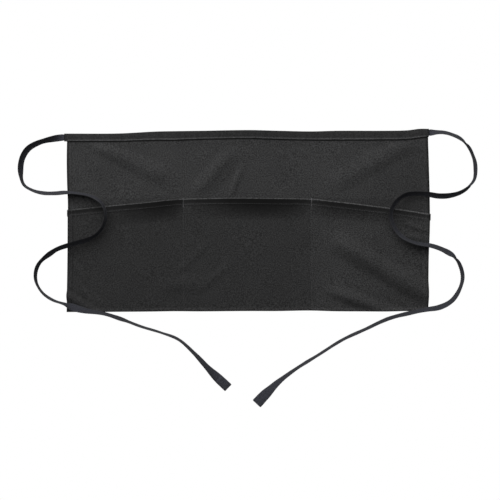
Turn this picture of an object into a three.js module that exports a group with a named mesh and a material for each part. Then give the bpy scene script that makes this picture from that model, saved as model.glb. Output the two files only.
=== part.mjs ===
// A waist apron with three front pockets, lying flat with its front up and its ties laid loosely over it.
// Millimetres. +X runs along the waistband, +Y from the bottom fold to the waistband, +Z up out of the front.
// The origin is under the middle of the apron without its ties, on the surface that it lies on.
import * as THREE from 'three';

// Driving dimensions
const apronLength = 304.5; // bottom fold to the waistband's top edge
const panelWidth = 609;
const clothWall = 1.1;
const seamGap = 0.3; // clearance between sewn plies
const sideHem = 7;
const hemExtra = 0.8; // what a turned hem adds to the wall
const hemFade = 2.5; // run over which a hem's extra wall falls to the plain wall
const bandLeftOverhang = 6; // how far the band's left end stands out past the panel's side
const bandRightOverhang = 0.5;
const bandHeight = 14;
const bandWall = 1;
const bandRamp = 16; // run over which the panel climbs from the floor to the band's slot
const pocketDepth = 191.5; // bottom fold to the mouth of the middle pocket
const leftPocketWidth = 195;
const rightPocketWidth = 198;
const mouthHem = 9.8;
const mouthLift = 12; // how far the middle pocket's mouth stands off the panel
const mouthReach = 37; // how far below the mouth a pocket stands off the panel
const mouthCurl = 2; // how long a pocket's front stays steep below the mouth: 1 eases off evenly
const cornerBulge = 1; // how far the mouth hem's ends stand out past the sides
const creaseRise = 4;
const creaseReach = 20;
const tieWidth = 16;
const tieWall = 1.2;
const tieTuck = 12; // length of each tie between the band's plies
const tieTuckWidth = 9.6; // width of each tie's end, pinched to go into the band
const tieExitWidth = 11; // width of each tie just past the band's end
const tieFlat = 2; // length of each tie that stays flat past the band's end
const leftTipWidth = 16;
const rightTipWidth = 18.2;
const tipHem = 22;
const tieLaying = 26; // run over which a tie climbs on and off what it lies on
const columnStep = 16;
const rowStep = 14.5;
const tieStep = 11.5;
const foldSteps = 4; // facets round the bottom fold

// The apron's edges, as it lies. across and down run from the upper left corner, as shares of the panel's
// width and the apron's length; top and bottom are how far each edge stands out, as shares of the length;
// tall is a share of the band's height, and left and right stand out by shares of the panel's width.
const lengthwiseEdges = [
  { across: 0.0, top: -0.0148, bottom: 0.0045, tall: 0.95 },
  { across: 0.14, top: -0.014, bottom: 0.0034, tall: 0.94 },
  { across: 0.24, top: -0.0035, bottom: 0.0018, tall: 1.06 },
  { across: 0.3, top: -0.001, bottom: 0.0, tall: 1.1 },
  { across: 0.37, top: 0.0008, bottom: 0.001, tall: 1.03 },
  { across: 0.5, top: 0.005, bottom: -0.001, tall: 1.02 },
  { across: 0.58, top: 0.0013, bottom: -0.0008, tall: 1.04 },
  { across: 0.67, top: -0.0025, bottom: -0.0036, tall: 1.04 },
  { across: 0.75, top: 0.001, bottom: 0.0005, tall: 1.13 },
  { across: 0.87, top: 0.001, bottom: 0.0008, tall: 1.1 },
  { across: 0.94, top: 0.0033, bottom: -0.001, tall: 1.1 },
  { across: 0.975, top: 0.0118, bottom: -0.0015, tall: 1.09 },
  { across: 1.0, top: 0.0117, bottom: -0.002, tall: 0.97 },
];
const sideEdges = [
  { down: 0.06, left: 0.0024, right: -0.001 },
  { down: 0.16, left: 0.0033, right: 0.0006 },
  { down: 0.29, left: 0.0021, right: 0.0026 },
  { down: 0.4, left: 0.0, right: 0.0035 },
  { down: 0.47, left: 0.0002, right: 0.0038 },
  { down: 0.58, left: 0.0004, right: 0.0026 },
  { down: 0.7, left: 0.0008, right: 0.0004 },
  { down: 1.0, left: 0.003, right: -0.0013 },
];
// The pocket mouth: tall is its height over the bottom fold, as a share of the pocket's depth.
const mouthLine = [
  { across: 0.0, tall: 0.9 },
  { across: 0.11, tall: 0.934 },
  { across: 0.21, tall: 0.96 },
  { across: 0.32, tall: 0.99 },
  { across: 0.4, tall: 0.997 },
  { across: 0.535, tall: 0.994 },
  { across: 0.66, tall: 0.985 },
  { across: 0.735, tall: 0.968 },
  { across: 0.81, tall: 0.942 },
  { across: 0.91, tall: 0.901 },
  { across: 1.0, tall: 0.855 },
];
// The pockets' open mouths: lift is a share of mouthLift and reach a share of mouthReach, peak is where the
// lift is, as a share of the pocket, and gather is how closely the cloth stands up round the peak.
const pocketMouths = [
  { lift: 0.9, reach: 1.0, peak: 0.8, gather: 0.7 },
  { lift: 1.0, reach: 1.0, peak: 0.6, gather: 0.8 },
  { lift: 0.75, reach: 0.85, peak: 0.25, gather: 1.0 },
];
// Creases, each a ridge from one point to another: places as shares of the panel's width and the apron's
// length from the upper left corner, heights as shares of creaseRise, half widths as shares of creaseReach.
const creases = [
  { fromAcross: 0.03, fromDown: 0.04, toAcross: 0.32, toDown: 0.3, rise: 0.9, fromReach: 0.6, toReach: 1.3 },
  { fromAcross: 0.46, fromDown: 0.09, toAcross: 0.34, toDown: 0.37, rise: 0.55, fromReach: 0.8, toReach: 0.8 },
  { fromAcross: 1.0, fromDown: 0.01, toAcross: 0.69, toDown: 0.36, rise: 1.0, fromReach: 0.9, toReach: 1.1 },
  { fromAcross: 0.7, fromDown: 0.52, toAcross: 1.02, toDown: 0.96, rise: 1.0, fromReach: 0.8, toReach: 1.4 },
  { fromAcross: 0.7, fromDown: 0.82, toAcross: 0.89, toDown: 1.04, rise: 0.5, fromReach: 0.9, toReach: 1.0 },
  { fromAcross: 0.0, fromDown: 0.83, toAcross: 0.13, toDown: 1.02, rise: 0.55, fromReach: 0.6, toReach: 0.7 },
  { fromAcross: 0.24, fromDown: 0.85, toAcross: 0.4, toDown: 0.85, rise: 0.4, fromReach: 0.9, toReach: 0.9 },
];

// The ties' middle lines, as points in millimetres from where each tie leaves the band's end.
const leftTieRoute = [
  [0, 0], [-31, -5], [-46, -10], [-61, -19], [-70, -32], [-75, -48], [-74, -65], [-68, -81],
  [-54, -91], [-35, -97], [-15, -98], [6, -96], [28, -97], [46, -101], [60, -109], [68, -121],
  [70, -135], [66, -150], [56, -163], [41, -172], [24, -177], [6, -182], [-13, -189], [-31, -199],
  [-44, -214], [-48, -230], [-46, -247], [-35, -264], [-18, -275], [2, -281], [21, -288], [46, -294],
  [70, -298], [100, -308], [129, -319], [162, -329], [193, -341], [219, -364], [246, -393], [277, -423],
];
const rightTieRoute = [
  [0, 0], [26, -1], [39, -5], [51, -11], [61, -22], [73, -46], [75, -62], [73, -79],
  [65, -91], [52, -100], [35, -105], [16, -106], [-4, -103], [-24, -102], [-42, -105], [-56, -115],
  [-64, -127], [-67, -141], [-63, -156], [-53, -171], [-40, -181], [-22, -188], [2, -192], [22, -199],
  [39, -210], [50, -227], [53, -246], [47, -266], [35, -282], [16, -291], [-7, -296], [-38, -303],
  [-68, -311], [-106, -328], [-148, -347], [-188, -372], [-228, -397], [-256, -418], [-277, -439], [-293, -456],
];
// How each tie lies along its length: along is a share of the length, lean the degrees that its left edge is
// raised (0 lies flat) and fold the degrees that it is creased along its middle.
const leftTiePosture = [
  { along: 0.0, lean: 0, fold: 0 },
  { along: 0.012, lean: 42, fold: 10 },
  { along: 0.03, lean: 66, fold: 20 },
  { along: 0.042, lean: 78, fold: 20 },
  { along: 0.06, lean: 76, fold: 20 },
  { along: 0.09, lean: 62, fold: 30 },
  { along: 0.12, lean: 60, fold: 30 },
  { along: 0.15, lean: 80, fold: 10 },
  { along: 0.19, lean: 73, fold: 20 },
  { along: 0.24, lean: 64, fold: 34 },
  { along: 0.28, lean: 58, fold: 34 },
  { along: 0.34, lean: 66, fold: 24 },
  { along: 0.4, lean: 74, fold: 20 },
  { along: 0.46, lean: 73, fold: 20 },
  { along: 0.49, lean: 66, fold: 30 },
  { along: 0.52, lean: 76, fold: 16 },
  { along: 0.57, lean: 81, fold: 10 },
  { along: 0.63, lean: 76, fold: 16 },
  { along: 0.68, lean: 38, fold: 10 },
  { along: 0.72, lean: 60, fold: 16 },
  { along: 0.77, lean: 79, fold: 10 },
  { along: 0.85, lean: 81, fold: 6 },
  { along: 0.9, lean: 74, fold: 8 },
  { along: 0.95, lean: 46, fold: 6 },
  { along: 0.975, lean: 16, fold: 0 },
  { along: 1.0, lean: 6, fold: 0 },
];
const rightTiePosture = [
  { along: 0.0, lean: 0, fold: 0 },
  { along: 0.008, lean: 46, fold: 8 },
  { along: 0.018, lean: 70, fold: 12 },
  { along: 0.03, lean: 79, fold: 12 },
  { along: 0.06, lean: 74, fold: 20 },
  { along: 0.12, lean: 74, fold: 20 },
  { along: 0.16, lean: 80, fold: 8 },
  { along: 0.21, lean: 62, fold: 34 },
  { along: 0.26, lean: 66, fold: 30 },
  { along: 0.33, lean: 68, fold: 26 },
  { along: 0.42, lean: 72, fold: 20 },
  { along: 0.48, lean: 64, fold: 30 },
  { along: 0.55, lean: 73, fold: 16 },
  { along: 0.59, lean: 63, fold: 30 },
  { along: 0.64, lean: 68, fold: 20 },
  { along: 0.7, lean: 76, fold: 10 },
  { along: 0.78, lean: 80, fold: 6 },
  { along: 0.88, lean: 80, fold: 6 },
  { along: 0.93, lean: 68, fold: 8 },
  { along: 0.96, lean: 40, fold: 6 },
  { along: 0.98, lean: 8, fold: 0 },
  { along: 1.0, lean: 0, fold: 0 },
];

const clamp01 = (t) => Math.min(1, Math.max(0, t));

// 0 before the start, 1 past the end, and a smooth climb between.
function ramp(value, start, end) {
  const t = clamp01((value - start) / (end - start));
  return t * t * (3 - 2 * t);
}

// One column of a table at a place between its rows, on a smooth curve through them.
function readColumn(rows, key, column, place) {
  let i = rows.findIndex((row) => row[key] > place);
  if (i === 0) return rows[0][column];
  if (i < 0) return rows[rows.length - 1][column];
  i -= 1;
  const slopeAt = (k) => {
    const before = rows[Math.max(0, k - 1)];
    const after = rows[Math.min(rows.length - 1, k + 1)];
    return (after[column] - before[column]) / (after[key] - before[key]);
  };
  const step = rows[i + 1][key] - rows[i][key];
  const t = (place - rows[i][key]) / step;
  const [a, b] = [rows[i][column], rows[i + 1][column]];
  const [slopeA, slopeB] = [slopeAt(i) * step, slopeAt(i + 1) * step];
  return a + t * (slopeA + t * (3 * (b - a) - 2 * slopeA - slopeB + t * (2 * (a - b) + slopeA + slopeB)));
}

// The apron's outline, in its own plane
const acrossOf = (x) => x / panelWidth + 0.5;
const downOf = (y) => 0.5 - y / apronLength;
const atAcross = (across) => (across - 0.5) * panelWidth;
const atDown = (down) => (0.5 - down) * apronLength;

function topEdge(x) {
  return apronLength * (0.5 + readColumn(lengthwiseEdges, 'across', 'top', acrossOf(x)));
}

// The x of the band's left end (side -1) or right end (1).
function bandEnd(side) {
  return side * (panelWidth / 2 + (side < 0 ? bandLeftOverhang : bandRightOverhang));
}

function bandLowerEdge(x) {
  return topEdge(x) - bandHeight * readColumn(lengthwiseEdges, 'across', 'tall', acrossOf(x));
}

function bottomFold(x) {
  return -apronLength * (0.5 + readColumn(lengthwiseEdges, 'across', 'bottom', acrossOf(x)));
}

function mouth(x) {
  return bottomFold(x) + pocketDepth * readColumn(mouthLine, 'across', 'tall', acrossOf(x));
}

function leftEdge(y) {
  return -panelWidth * (0.5 + readColumn(sideEdges, 'down', 'left', downOf(y)));
}

function rightEdge(y) {
  return panelWidth * (0.5 + readColumn(sideEdges, 'down', 'right', downOf(y)));
}

// Height of one crease over a point of the plane: a smooth ridge that fades out at both of its ends.
function creaseHeight(crease, x, y) {
  const from = new THREE.Vector2(atAcross(crease.fromAcross), atDown(crease.fromDown));
  const along = new THREE.Vector2(atAcross(crease.toAcross), atDown(crease.toDown)).sub(from);
  const offset = new THREE.Vector2(x, y).sub(from);
  const t = offset.dot(along) / along.lengthSq();
  const aside = Math.abs(offset.cross(along)) / along.length();
  const reach = creaseReach * THREE.MathUtils.lerp(crease.fromReach, crease.toReach, clamp01(t));
  const ends = ramp(t, 0, 0.3) * ramp(-t, -1, -0.7);
  return creaseRise * crease.rise * ends * (1 - clamp01(aside / reach) ** 2) ** 2;
}

const slotFloor = bandWall + seamGap; // where the panel's top edge and the ties' ends lie in the band
const bandThickness = 2 * slotFloor + Math.max(clothWall, tieWall);
const foldDepth = clothWall + seamGap / 2; // the bottom fold goes round the gap between its two plies

// How far the panel is into its climb from the floor to the band's slot, from 0 to 1.
function towardsBand(x, y) {
  return ramp(y, bandLowerEdge(x) - bandRamp, bandLowerEdge(x));
}

// The panel's underside: on the floor, but over the creases and up into the band's slot.
function panelUnderside(x, y) {
  const folds = creases.reduce((sum, crease) => sum + creaseHeight(crease, x, y), 0);
  return THREE.MathUtils.lerp(folds, slotFloor, towardsBand(x, y));
}

// What a side hem adds to the wall at a distance in from the nearer side edge: nothing in the band, where the
// turned cloth is trimmed away.
function sideHemWall(x, y) {
  const inward = Math.min(x - leftEdge(y), rightEdge(y) - x);
  return hemExtra * (1 - ramp(inward, sideHem, sideHem + hemFade)) * (1 - towardsBand(x, y));
}

function panelFace(x, y) {
  return panelUnderside(x, y) + clothWall + sideHemWall(x, y);
}

// How far a pocket's front stands off the panel: up at the mouth, and down at the sides and dividers.
function pocketLift(x, y) {
  const walls = [-panelWidth / 2, leftPocketWidth - panelWidth / 2, panelWidth / 2 - rightPocketWidth, panelWidth / 2];
  const i = walls.slice(1, 3).filter((wall) => wall < x).length;
  const share = clamp01((x - walls[i]) / (walls[i + 1] - walls[i]));
  const { lift, reach, peak, gather } = pocketMouths[i];
  const arch = Math.max(0, Math.sin(Math.PI * share ** (Math.log(0.5) / Math.log(peak)))) ** gather;
  const below = clamp01((mouth(x) - y) / (mouthReach * reach));
  const fall = ((mouthCurl + 1) * below - below ** (mouthCurl + 1)) / mouthCurl;
  return mouthLift * lift * arch * (1 - fall);
}

function pocketUnderside(x, y) {
  return panelFace(x, y) + seamGap + pocketLift(x, y);
}

function pocketFace(x, y) {
  const mouthHemWall = hemExtra * (1 - ramp(mouth(x) - y, mouthHem, mouthHem + hemFade));
  return pocketUnderside(x, y) + clothWall + Math.max(mouthHemWall, sideHemWall(x, y));
}

// The columns and rows that all three cloth pieces share, so that their plies stay parallel
function columns() {
  const fromSide = [0, sideHem, sideHem + hemFade, tieTuck, tieTuck + hemFade];
  const marks = [...fromSide, leftPocketWidth, panelWidth - rightPocketWidth, ...fromSide.map((d) => panelWidth - d)];
  const sorted = [...new Set(marks)].sort((a, b) => a - b);
  const places = sorted.slice(0, -1).flatMap((mark, i) => {
    const count = Math.max(1, Math.round((sorted[i + 1] - mark) / columnStep));
    return Array.from({ length: count }, (_, k) => mark + ((sorted[i + 1] - mark) * k) / count);
  });
  return [...places, panelWidth].map((place) => place - panelWidth / 2);
}

// Heights of the rows below the mouth, from the mouth down to just inside the bottom fold.
function pocketRows(x) {
  const foldTop = bottomFold(x) + foldDepth;
  const hemLine = mouth(x) - mouthHem;
  const plainTop = hemLine - hemFade;
  const count = Math.round(pocketDepth / rowStep);
  const plain = Array.from({ length: count + 1 }, (_, k) => THREE.MathUtils.lerp(plainTop, foldTop, k / count));
  return [mouth(x), mouth(x) - mouthHem / 2, hemLine, ...plain];
}

// Heights of the rows between the band and the mouth, from the middle of the climb into the band down.
function upperRows(x) {
  const rampFoot = bandLowerEdge(x) - bandRamp;
  const count = Math.round((apronLength - pocketDepth - bandHeight - bandRamp) / rowStep);
  const plain = Array.from({ length: count }, (_, k) => THREE.MathUtils.lerp(rampFoot, mouth(x), k / count));
  return [bandLowerEdge(x) - bandRamp / 2, ...plain];
}

// A point of the cloth: the sides sway, so each column's x is spread between them at its height.
function clothPoint(x, y, height) {
  const placed = THREE.MathUtils.lerp(leftEdge(y), rightEdge(y), acrossOf(x));
  return new THREE.Vector3(placed, y, height(placed, y));
}

// A closed skin over cross-sections, each an upper and a lower path with the same number of points, with caps
// on the first and the last. Both paths' faces split along the same diagonals, so that plies stay parallel.
function loft(sections) {
  const size = sections[0].upper.length;
  const ring = 2 * size;
  const faces = [];
  for (let k = 0; k < sections.length - 1; k += 1) {
    for (let i = 0; i < ring; i += 1) {
      const j = (i + 1) % ring;
      const [a, b, c, d] = [k * ring + i, k * ring + j, (k + 1) * ring + j, (k + 1) * ring + i];
      faces.push(...(i < size ? [[a, b, c], [a, c, d]] : [[a, b, d], [b, c, d]]));
    }
  }
  const last = (sections.length - 1) * ring;
  for (let i = 0; i < size - 1; i += 1) {
    const [a, b, c, d] = [i, i + 1, ring - 2 - i, ring - 1 - i];
    faces.push([a, c, b], [a, d, c], [last + a, last + b, last + c], [last + a, last + c, last + d]);
  }
  const points = sections.flatMap(({ upper, lower }) => [...upper, ...lower.toReversed()]);
  const geometry = new THREE.BufferGeometry().setFromPoints(points);
  geometry.setIndex(faces.flat());
  geometry.computeVertexNormals();
  return geometry;
}

// The upper edge of a tie's end in the band's slot, on the left side (-1) or the right (1).
function tuckTop(side) {
  const end = bandEnd(side);
  return Math.min(topEdge(end), topEdge(end - side * tieTuck)) - bandWall - 2 * seamGap;
}

// The back cloth, up into the band's slot, its upper corners notched where the ties go in.
function panelGeometry() {
  return loft(columns().map((x) => {
    const notched = panelWidth / 2 - Math.abs(x) < tieTuck + hemFade / 2;
    const slotTop = topEdge(x) - bandWall - seamGap;
    const notchTop = tuckTop(Math.sign(x)) - tieTuckWidth - 2 * seamGap;
    const topRows = notched
      ? [notchTop, notchTop - bandRamp / 16, notchTop - bandRamp / 8]
      : [slotTop, (slotTop + bandLowerEdge(x)) / 2, bandLowerEdge(x)];
    const lowRows = pocketRows(x);
    const rows = [...topRows, ...upperRows(x), ...lowRows.slice(0, -1), lowRows.at(-1) + seamGap];
    return {
      upper: rows.map((y) => clothPoint(x, y, panelFace)),
      lower: rows.map((y) => clothPoint(x, y, panelUnderside)),
    };
  }));
}

// The strip folded over the panel's top edge, its slot open downwards and at both ends.
function waistbandGeometry() {
  const stations = [bandEnd(-1), ...columns().slice(1, -1), bandEnd(1)];
  return loft(stations.map((x) => {
    const [low, top] = [bandLowerEdge(x), topEdge(x)];
    const slot = top - bandWall;
    const [front, slotCeiling] = [bandThickness, bandThickness - bandWall];
    const place = ([y, z]) => new THREE.Vector3(x, y, z);
    const outer = [[low, 0], [slot, 0], [top, bandWall], [top, slotCeiling], [slot, front], [low, front]];
    const slotMiddle = bandThickness / 2;
    const inner = [
      [low, bandWall],
      [slot, bandWall],
      [slot, slotMiddle - seamGap / 2],
      [slot, slotMiddle + seamGap / 2],
      [slot, slotCeiling],
      [low, slotCeiling],
    ];
    return { upper: outer.map(place), lower: inner.map(place) };
  }));
}

// The front cloth: three raised mouths over the panel, and the bottom fold rolled down to the floor.
function pocketGeometry() {
  return loft(columns().map((x) => {
    const rows = pocketRows(x);
    const foldLine = rows.at(-1);
    const mouthPoint = (y, height) => {
      const point = clothPoint(x, y, height);
      const inward = panelWidth / 2 - Math.abs(x);
      const atEnd = (1 - ramp(mouth(x) - y, mouthHem, mouthHem + hemFade)) * (1 - ramp(inward, 0, sideHem));
      point.x += Math.sign(x) * cornerBulge * atEnd;
      return point;
    };
    const upper = rows.map((y) => mouthPoint(y, pocketFace));
    const lower = rows.map((y) => mouthPoint(y, pocketUnderside));
    const [face, inside] = [upper.at(-1), lower.at(-1)];
    const floor = panelUnderside(face.x, foldLine);
    const halfStack = (face.z - floor) / 2;
    for (let k = 1; k <= foldSteps; k += 1) {
      const turn = (Math.PI * k) / foldSteps;
      const y = foldLine - foldDepth * Math.sin(turn);
      upper.push(new THREE.Vector3(face.x, y, floor + halfStack * (1 + Math.cos(turn))));
      lower.push(new THREE.Vector3(face.x, foldLine, THREE.MathUtils.lerp(inside.z, floor, k / (foldSteps + 1))));
    }
    return { upper, lower };
  }));
}

// The height of whatever cloth lies under a point of the plane, and 0 beside the apron.
function clothTop(x, y) {
  const onApron = x > leftEdge(y) && x < rightEdge(y) && y > bottomFold(x) && y < topEdge(x);
  if (!onApron) return 0;
  if (y > bandLowerEdge(x)) return bandThickness + seamGap;
  return (y > mouth(x) ? panelFace(x, y) : pocketFace(x, y)) + seamGap;
}

// A tie's middle line in the plane, from inside the band out along its route.
function tieLine(side, route) {
  const exit = new THREE.Vector3(bandEnd(side), tuckTop(side) - tieTuckWidth / 2, 0);
  const tucked = exit.clone().setX(exit.x - side * tieTuck);
  const points = route.map(([x, y]) => new THREE.Vector3(exit.x + x, exit.y + y, 0));
  const line = new THREE.CatmullRomCurve3([tucked, ...points], false, 'centripetal');
  line.arcLengthDivisions = 40 * points.length;
  return line;
}

// A point of a tie's line with the direction to its left, at a distance along it.
function tieStation(line, distance) {
  const share = distance / line.getLength();
  const point = line.getPointAt(share);
  const heading = line.getTangentAt(share);
  return { point, left: new THREE.Vector3(-heading.y, heading.x, 0) };
}

// How high a tie's lowest edge lies at each of some distances: over the highest thing that is near, with the
// climbs on and off it smoothed.
function layingHeights(line, distances) {
  const spacing = tieLaying / 8;
  const count = Math.ceil(line.getLength() / spacing);
  const under = Array.from({ length: count + 1 }, (_, i) => {
    const distance = Math.min(i * spacing, line.getLength());
    if (distance < tieTuck + 2 * tieLaying) return 0;
    const { point, left } = tieStation(line, distance);
    const across = [-1, -0.5, 0, 0.5, 1].map((share) => left.clone().multiplyScalar((share * tieWidth) / 2).add(point));
    return Math.max(...across.map(({ x, y }) => clothTop(x, y)));
  });
  const near = (list, i, reach) => list.slice(Math.max(0, i - reach), i + reach + 1);
  const highest = under.map((_, i) => Math.max(...near(under, i, 6)));
  const eased = highest.map((_, i) => {
    const heights = near(highest, i, 4);
    return heights.reduce((sum, height) => sum + height, 0) / heights.length;
  });
  return distances.map((distance) => {
    const i = Math.min(count - 1, Math.floor(distance / spacing));
    const laid = THREE.MathUtils.lerp(eased[i], eased[i + 1], clamp01(distance / spacing - i));
    const leaving = slotFloor * (1 - ramp(distance, tieTuck + tieFlat, tieTuck + tieFlat + tieLaying));
    return Math.max(laid, leaving);
  });
}

// A flat tape swept along its line, leaning and creased as its posture says, its tip folded back on itself.
function tieGeometry({ side, route, posture, tipWidth }) {
  const line = tieLine(side, route);
  const length = line.getLength();
  const free = tieTuck + tieFlat;
  const hemStart = length - tipHem;
  const count = Math.round((hemStart - free) / tieStep);
  const run = Array.from({ length: count + 1 }, (_, k) => THREE.MathUtils.lerp(free, hemStart, k / count));
  const distances = [0, tieTuck, ...run, hemStart + tieWall, (hemStart + length) / 2, length];
  const heights = layingHeights(line, distances);
  return loft(distances.map((distance, k) => {
    const { point, left } = tieStation(line, distance);
    const along = clamp01((distance - free) / (length - free));
    const lean = THREE.MathUtils.degToRad(readColumn(posture, 'along', 'lean', along));
    const halfFold = THREE.MathUtils.degToRad(readColumn(posture, 'along', 'fold', along)) / 2;
    const pinched = THREE.MathUtils.lerp(tieTuckWidth, tieExitWidth, ramp(distance, tieTuck, free));
    const spread = THREE.MathUtils.lerp(pinched, tieWidth, ramp(distance, free, free + tieLaying));
    const width = THREE.MathUtils.lerp(spread, tipWidth, ramp(distance, hemStart - tipHem, length));
    const wall = distance > hemStart ? 2 * tieWall : tieWall;
    const section = (side) => {
      const [raised, lowered] = [lean + halfFold, lean - halfFold];
      const offset = (angle, reach) => [
        Math.cos(angle) * reach - (Math.sin(angle) * side * wall) / 2,
        Math.sin(angle) * reach + (Math.cos(angle) * side * wall) / 2,
      ];
      return [offset(raised, width / 2), offset(lean, 0), offset(lowered, -width / 2)];
    };
    const [upper, lower] = [section(1), section(-1)];
    const lowest = Math.min(...[...upper, ...lower].map(([, height]) => height));
    const place = ([across, height]) =>
      left.clone().multiplyScalar(across).add(point).setZ(heights[k] + height - lowest);
    return { upper: upper.map(place), lower: lower.map(place) };
  }));
}

// Assembly: each piece with its own cloth, the whole moved so that the apron is centred on the origin
function piece(name, geometry, colour, roughness) {
  const material = new THREE.MeshStandardMaterial({ color: colour, roughness, metalness: 0 });
  const mesh = new THREE.Mesh(geometry, material);
  mesh.name = name;
  return mesh;
}

const cloth = new THREE.Group();
cloth.add(
  piece('apron_panel', panelGeometry(), 0x353535, 0.9),
  piece('waistband', waistbandGeometry(), 0x313131, 0.9),
  piece('pocket_panel', pocketGeometry(), 0x2d2d2d, 0.9),
);
const ties = [
  { name: 'tie_left', side: -1, route: leftTieRoute, posture: leftTiePosture, tipWidth: leftTipWidth },
  { name: 'tie_right', side: 1, route: rightTieRoute, posture: rightTiePosture, tipWidth: rightTipWidth },
];
const apron = new THREE.Group();
apron.add(cloth, ...ties.map((tie) => piece(tie.name, tieGeometry(tie), 0x25262c, 0.75)));
const box = new THREE.Box3().setFromObject(cloth, true);
const middle = box.getCenter(new THREE.Vector3());
apron.position.set(-middle.x, -middle.y, -box.min.z);

export default apron;
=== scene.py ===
"""A black twill waist apron lying flat, its two tapes laid loosely over it: cloth, hems, stitches and finishes.

Lengths are in millimetres, in the apron's own plane, until a mesh is made. The mesh is in metres, in the frame.
"""

import logging
import math
from collections.abc import Callable
from dataclasses import dataclass, field
from enum import Enum, IntEnum

import bpy
import numpy as np
from bpy.types import Material, Node, NodeSocket, NodeTree, Object
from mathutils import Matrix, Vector
from numpy import ndarray as Array


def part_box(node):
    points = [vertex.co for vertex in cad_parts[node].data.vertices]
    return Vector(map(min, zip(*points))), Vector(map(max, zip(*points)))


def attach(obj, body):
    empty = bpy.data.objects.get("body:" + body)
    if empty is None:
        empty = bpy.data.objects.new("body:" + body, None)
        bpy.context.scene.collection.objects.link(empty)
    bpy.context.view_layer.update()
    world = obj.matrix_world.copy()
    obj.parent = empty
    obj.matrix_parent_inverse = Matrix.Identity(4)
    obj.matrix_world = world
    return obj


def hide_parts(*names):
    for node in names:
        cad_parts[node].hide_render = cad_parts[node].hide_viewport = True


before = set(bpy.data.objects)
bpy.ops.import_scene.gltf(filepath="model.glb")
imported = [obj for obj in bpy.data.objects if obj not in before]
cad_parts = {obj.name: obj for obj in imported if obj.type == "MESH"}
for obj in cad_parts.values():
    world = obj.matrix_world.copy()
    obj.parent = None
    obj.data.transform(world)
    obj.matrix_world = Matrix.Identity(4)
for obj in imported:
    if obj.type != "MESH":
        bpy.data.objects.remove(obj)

LOG = logging.getLogger("apron")
MM = 0.001
BODY = "root"


class Draw(IntEnum):
    """The seed of each draw of random numbers."""

    BAND_PUCKERS = 3
    DIVIDER_PUCKERS = 5
    BAND_EDGE = 5
    BAND_TONE = 7
    MOUTH_PUCKERS = 8
    PANEL_RIPPLES = 11
    POCKET_RIPPLES = 23
    BAND_FACE = 31
    TAPE_SWAY = 40


# Small helpers on numbers


@dataclass(frozen=True)
class Table:
    """A short table with named columns, its first column rising from row to row."""

    names: tuple[str, ...]
    rows: tuple[tuple[float, ...], ...]

    def column(self, name: str) -> Array:
        """One column's values."""
        return np.array([row[self.names.index(name)] for row in self.rows], float)

    def read(self, name: str, place: Array) -> Array:
        """Reads a column between its rows, on a smooth curve through them.

        Args:
            name: The column that is read.
            place: Where it is read, in the first column's terms.

        Returns:
            The values there; past either end they stay at the end row's value.
        """
        key, value = self.column(self.names[0]), self.column(name)
        last = len(key) - 1
        before, after = np.maximum(np.arange(last + 1) - 1, 0), np.minimum(np.arange(last + 1) + 1, last)
        slope = (value[after] - value[before]) / (key[after] - key[before])
        place = np.clip(np.asarray(place, float), key[0], key[-1])
        i = np.clip(np.searchsorted(key, place, side="right") - 1, 0, last - 1)
        step = key[i + 1] - key[i]
        t = (place - key[i]) / step
        a, b = value[i], value[i + 1]
        slope_a, slope_b = slope[i] * step, slope[i + 1] * step
        curve = 3 * (b - a) - 2 * slope_a - slope_b + t * (2 * (a - b) + slope_a + slope_b)
        return a + t * (slope_a + t * curve)


def ramp(value: Array, start: float | Array, end: float | Array) -> Array:
    """0 before the start, 1 past the end, and a smooth climb between."""
    t = np.clip((value - start) / (end - start), 0, 1)
    return t * t * (3 - 2 * t)


def fade(value: Array, start: float | Array, end: float | Array) -> Array:
    """1 before the start, 0 past the end, and a smooth fall between."""
    return 1 - ramp(value, start, end)


def mix(a: Array, b: Array, share: Array) -> Array:
    """The value a share of the way from a to b."""
    return a + (b - a) * share


def dim(tone: float | Array, share: Array) -> Array:
    """The tone where the share is 1, and 1 where it is 0."""
    return 1 - (1 - tone) * share


def even(start: Array, end: Array, count: int) -> list[Array]:
    """Even steps from a start, which is left out, to an end."""
    return [mix(start, end, k / count) for k in range(1, count + 1)]


def waves(along: Array, lengths: tuple[float, ...], seed: int) -> Array:
    """An uneven wave along a line, from -1 to 1, as gathered threads pull it.

    Args:
        along: Distances along the line.
        lengths: The wave lengths that are added up.
        seed: Which of the possible waves this is.

    Returns:
        The wave's height at each distance.
    """
    draw = np.random.default_rng(seed)
    total = sum(np.sin(2 * math.pi * along / length + draw.uniform(0, 6.28)) for length in lengths)
    return total / len(lengths)


# The apron's shape, as it lies

LENGTHWISE_EDGES = Table(
    ("across", "top", "bottom", "tall"),
    (
        (0.0, -0.0148, 0.0045, 0.95), (0.14, -0.014, 0.0034, 0.94), (0.24, -0.0035, 0.0018, 1.06),
        (0.3, -0.001, 0.0, 1.1), (0.37, 0.0008, 0.001, 1.03), (0.5, 0.005, -0.001, 1.02),
        (0.58, 0.0013, -0.0008, 1.04), (0.67, -0.0025, -0.0036, 1.04), (0.75, 0.001, 0.0005, 1.13),
        (0.87, 0.001, 0.0008, 1.1), (0.94, 0.0033, -0.001, 1.1), (0.975, 0.0118, -0.0015, 1.09),
        (1.0, 0.0117, -0.002, 0.97),
    ),
)
SIDE_EDGES = Table(
    ("down", "left", "right"),
    (
        (0.06, 0.0024, -0.001), (0.16, 0.0033, 0.0006), (0.29, 0.0021, 0.0026), (0.4, 0.0, 0.0035),
        (0.47, 0.0002, 0.0038), (0.58, 0.0004, 0.0026), (0.7, 0.0008, 0.0004), (1.0, 0.003, -0.0013),
    ),
)
MOUTH_LINE = Table(
    ("across", "tall"),
    (
        (0.0, 0.9), (0.11, 0.934), (0.21, 0.96), (0.32, 0.99), (0.4, 0.997), (0.535, 0.994),
        (0.66, 0.985), (0.735, 0.968), (0.81, 0.942), (0.91, 0.901), (1.0, 0.855),
    ),
)
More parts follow.
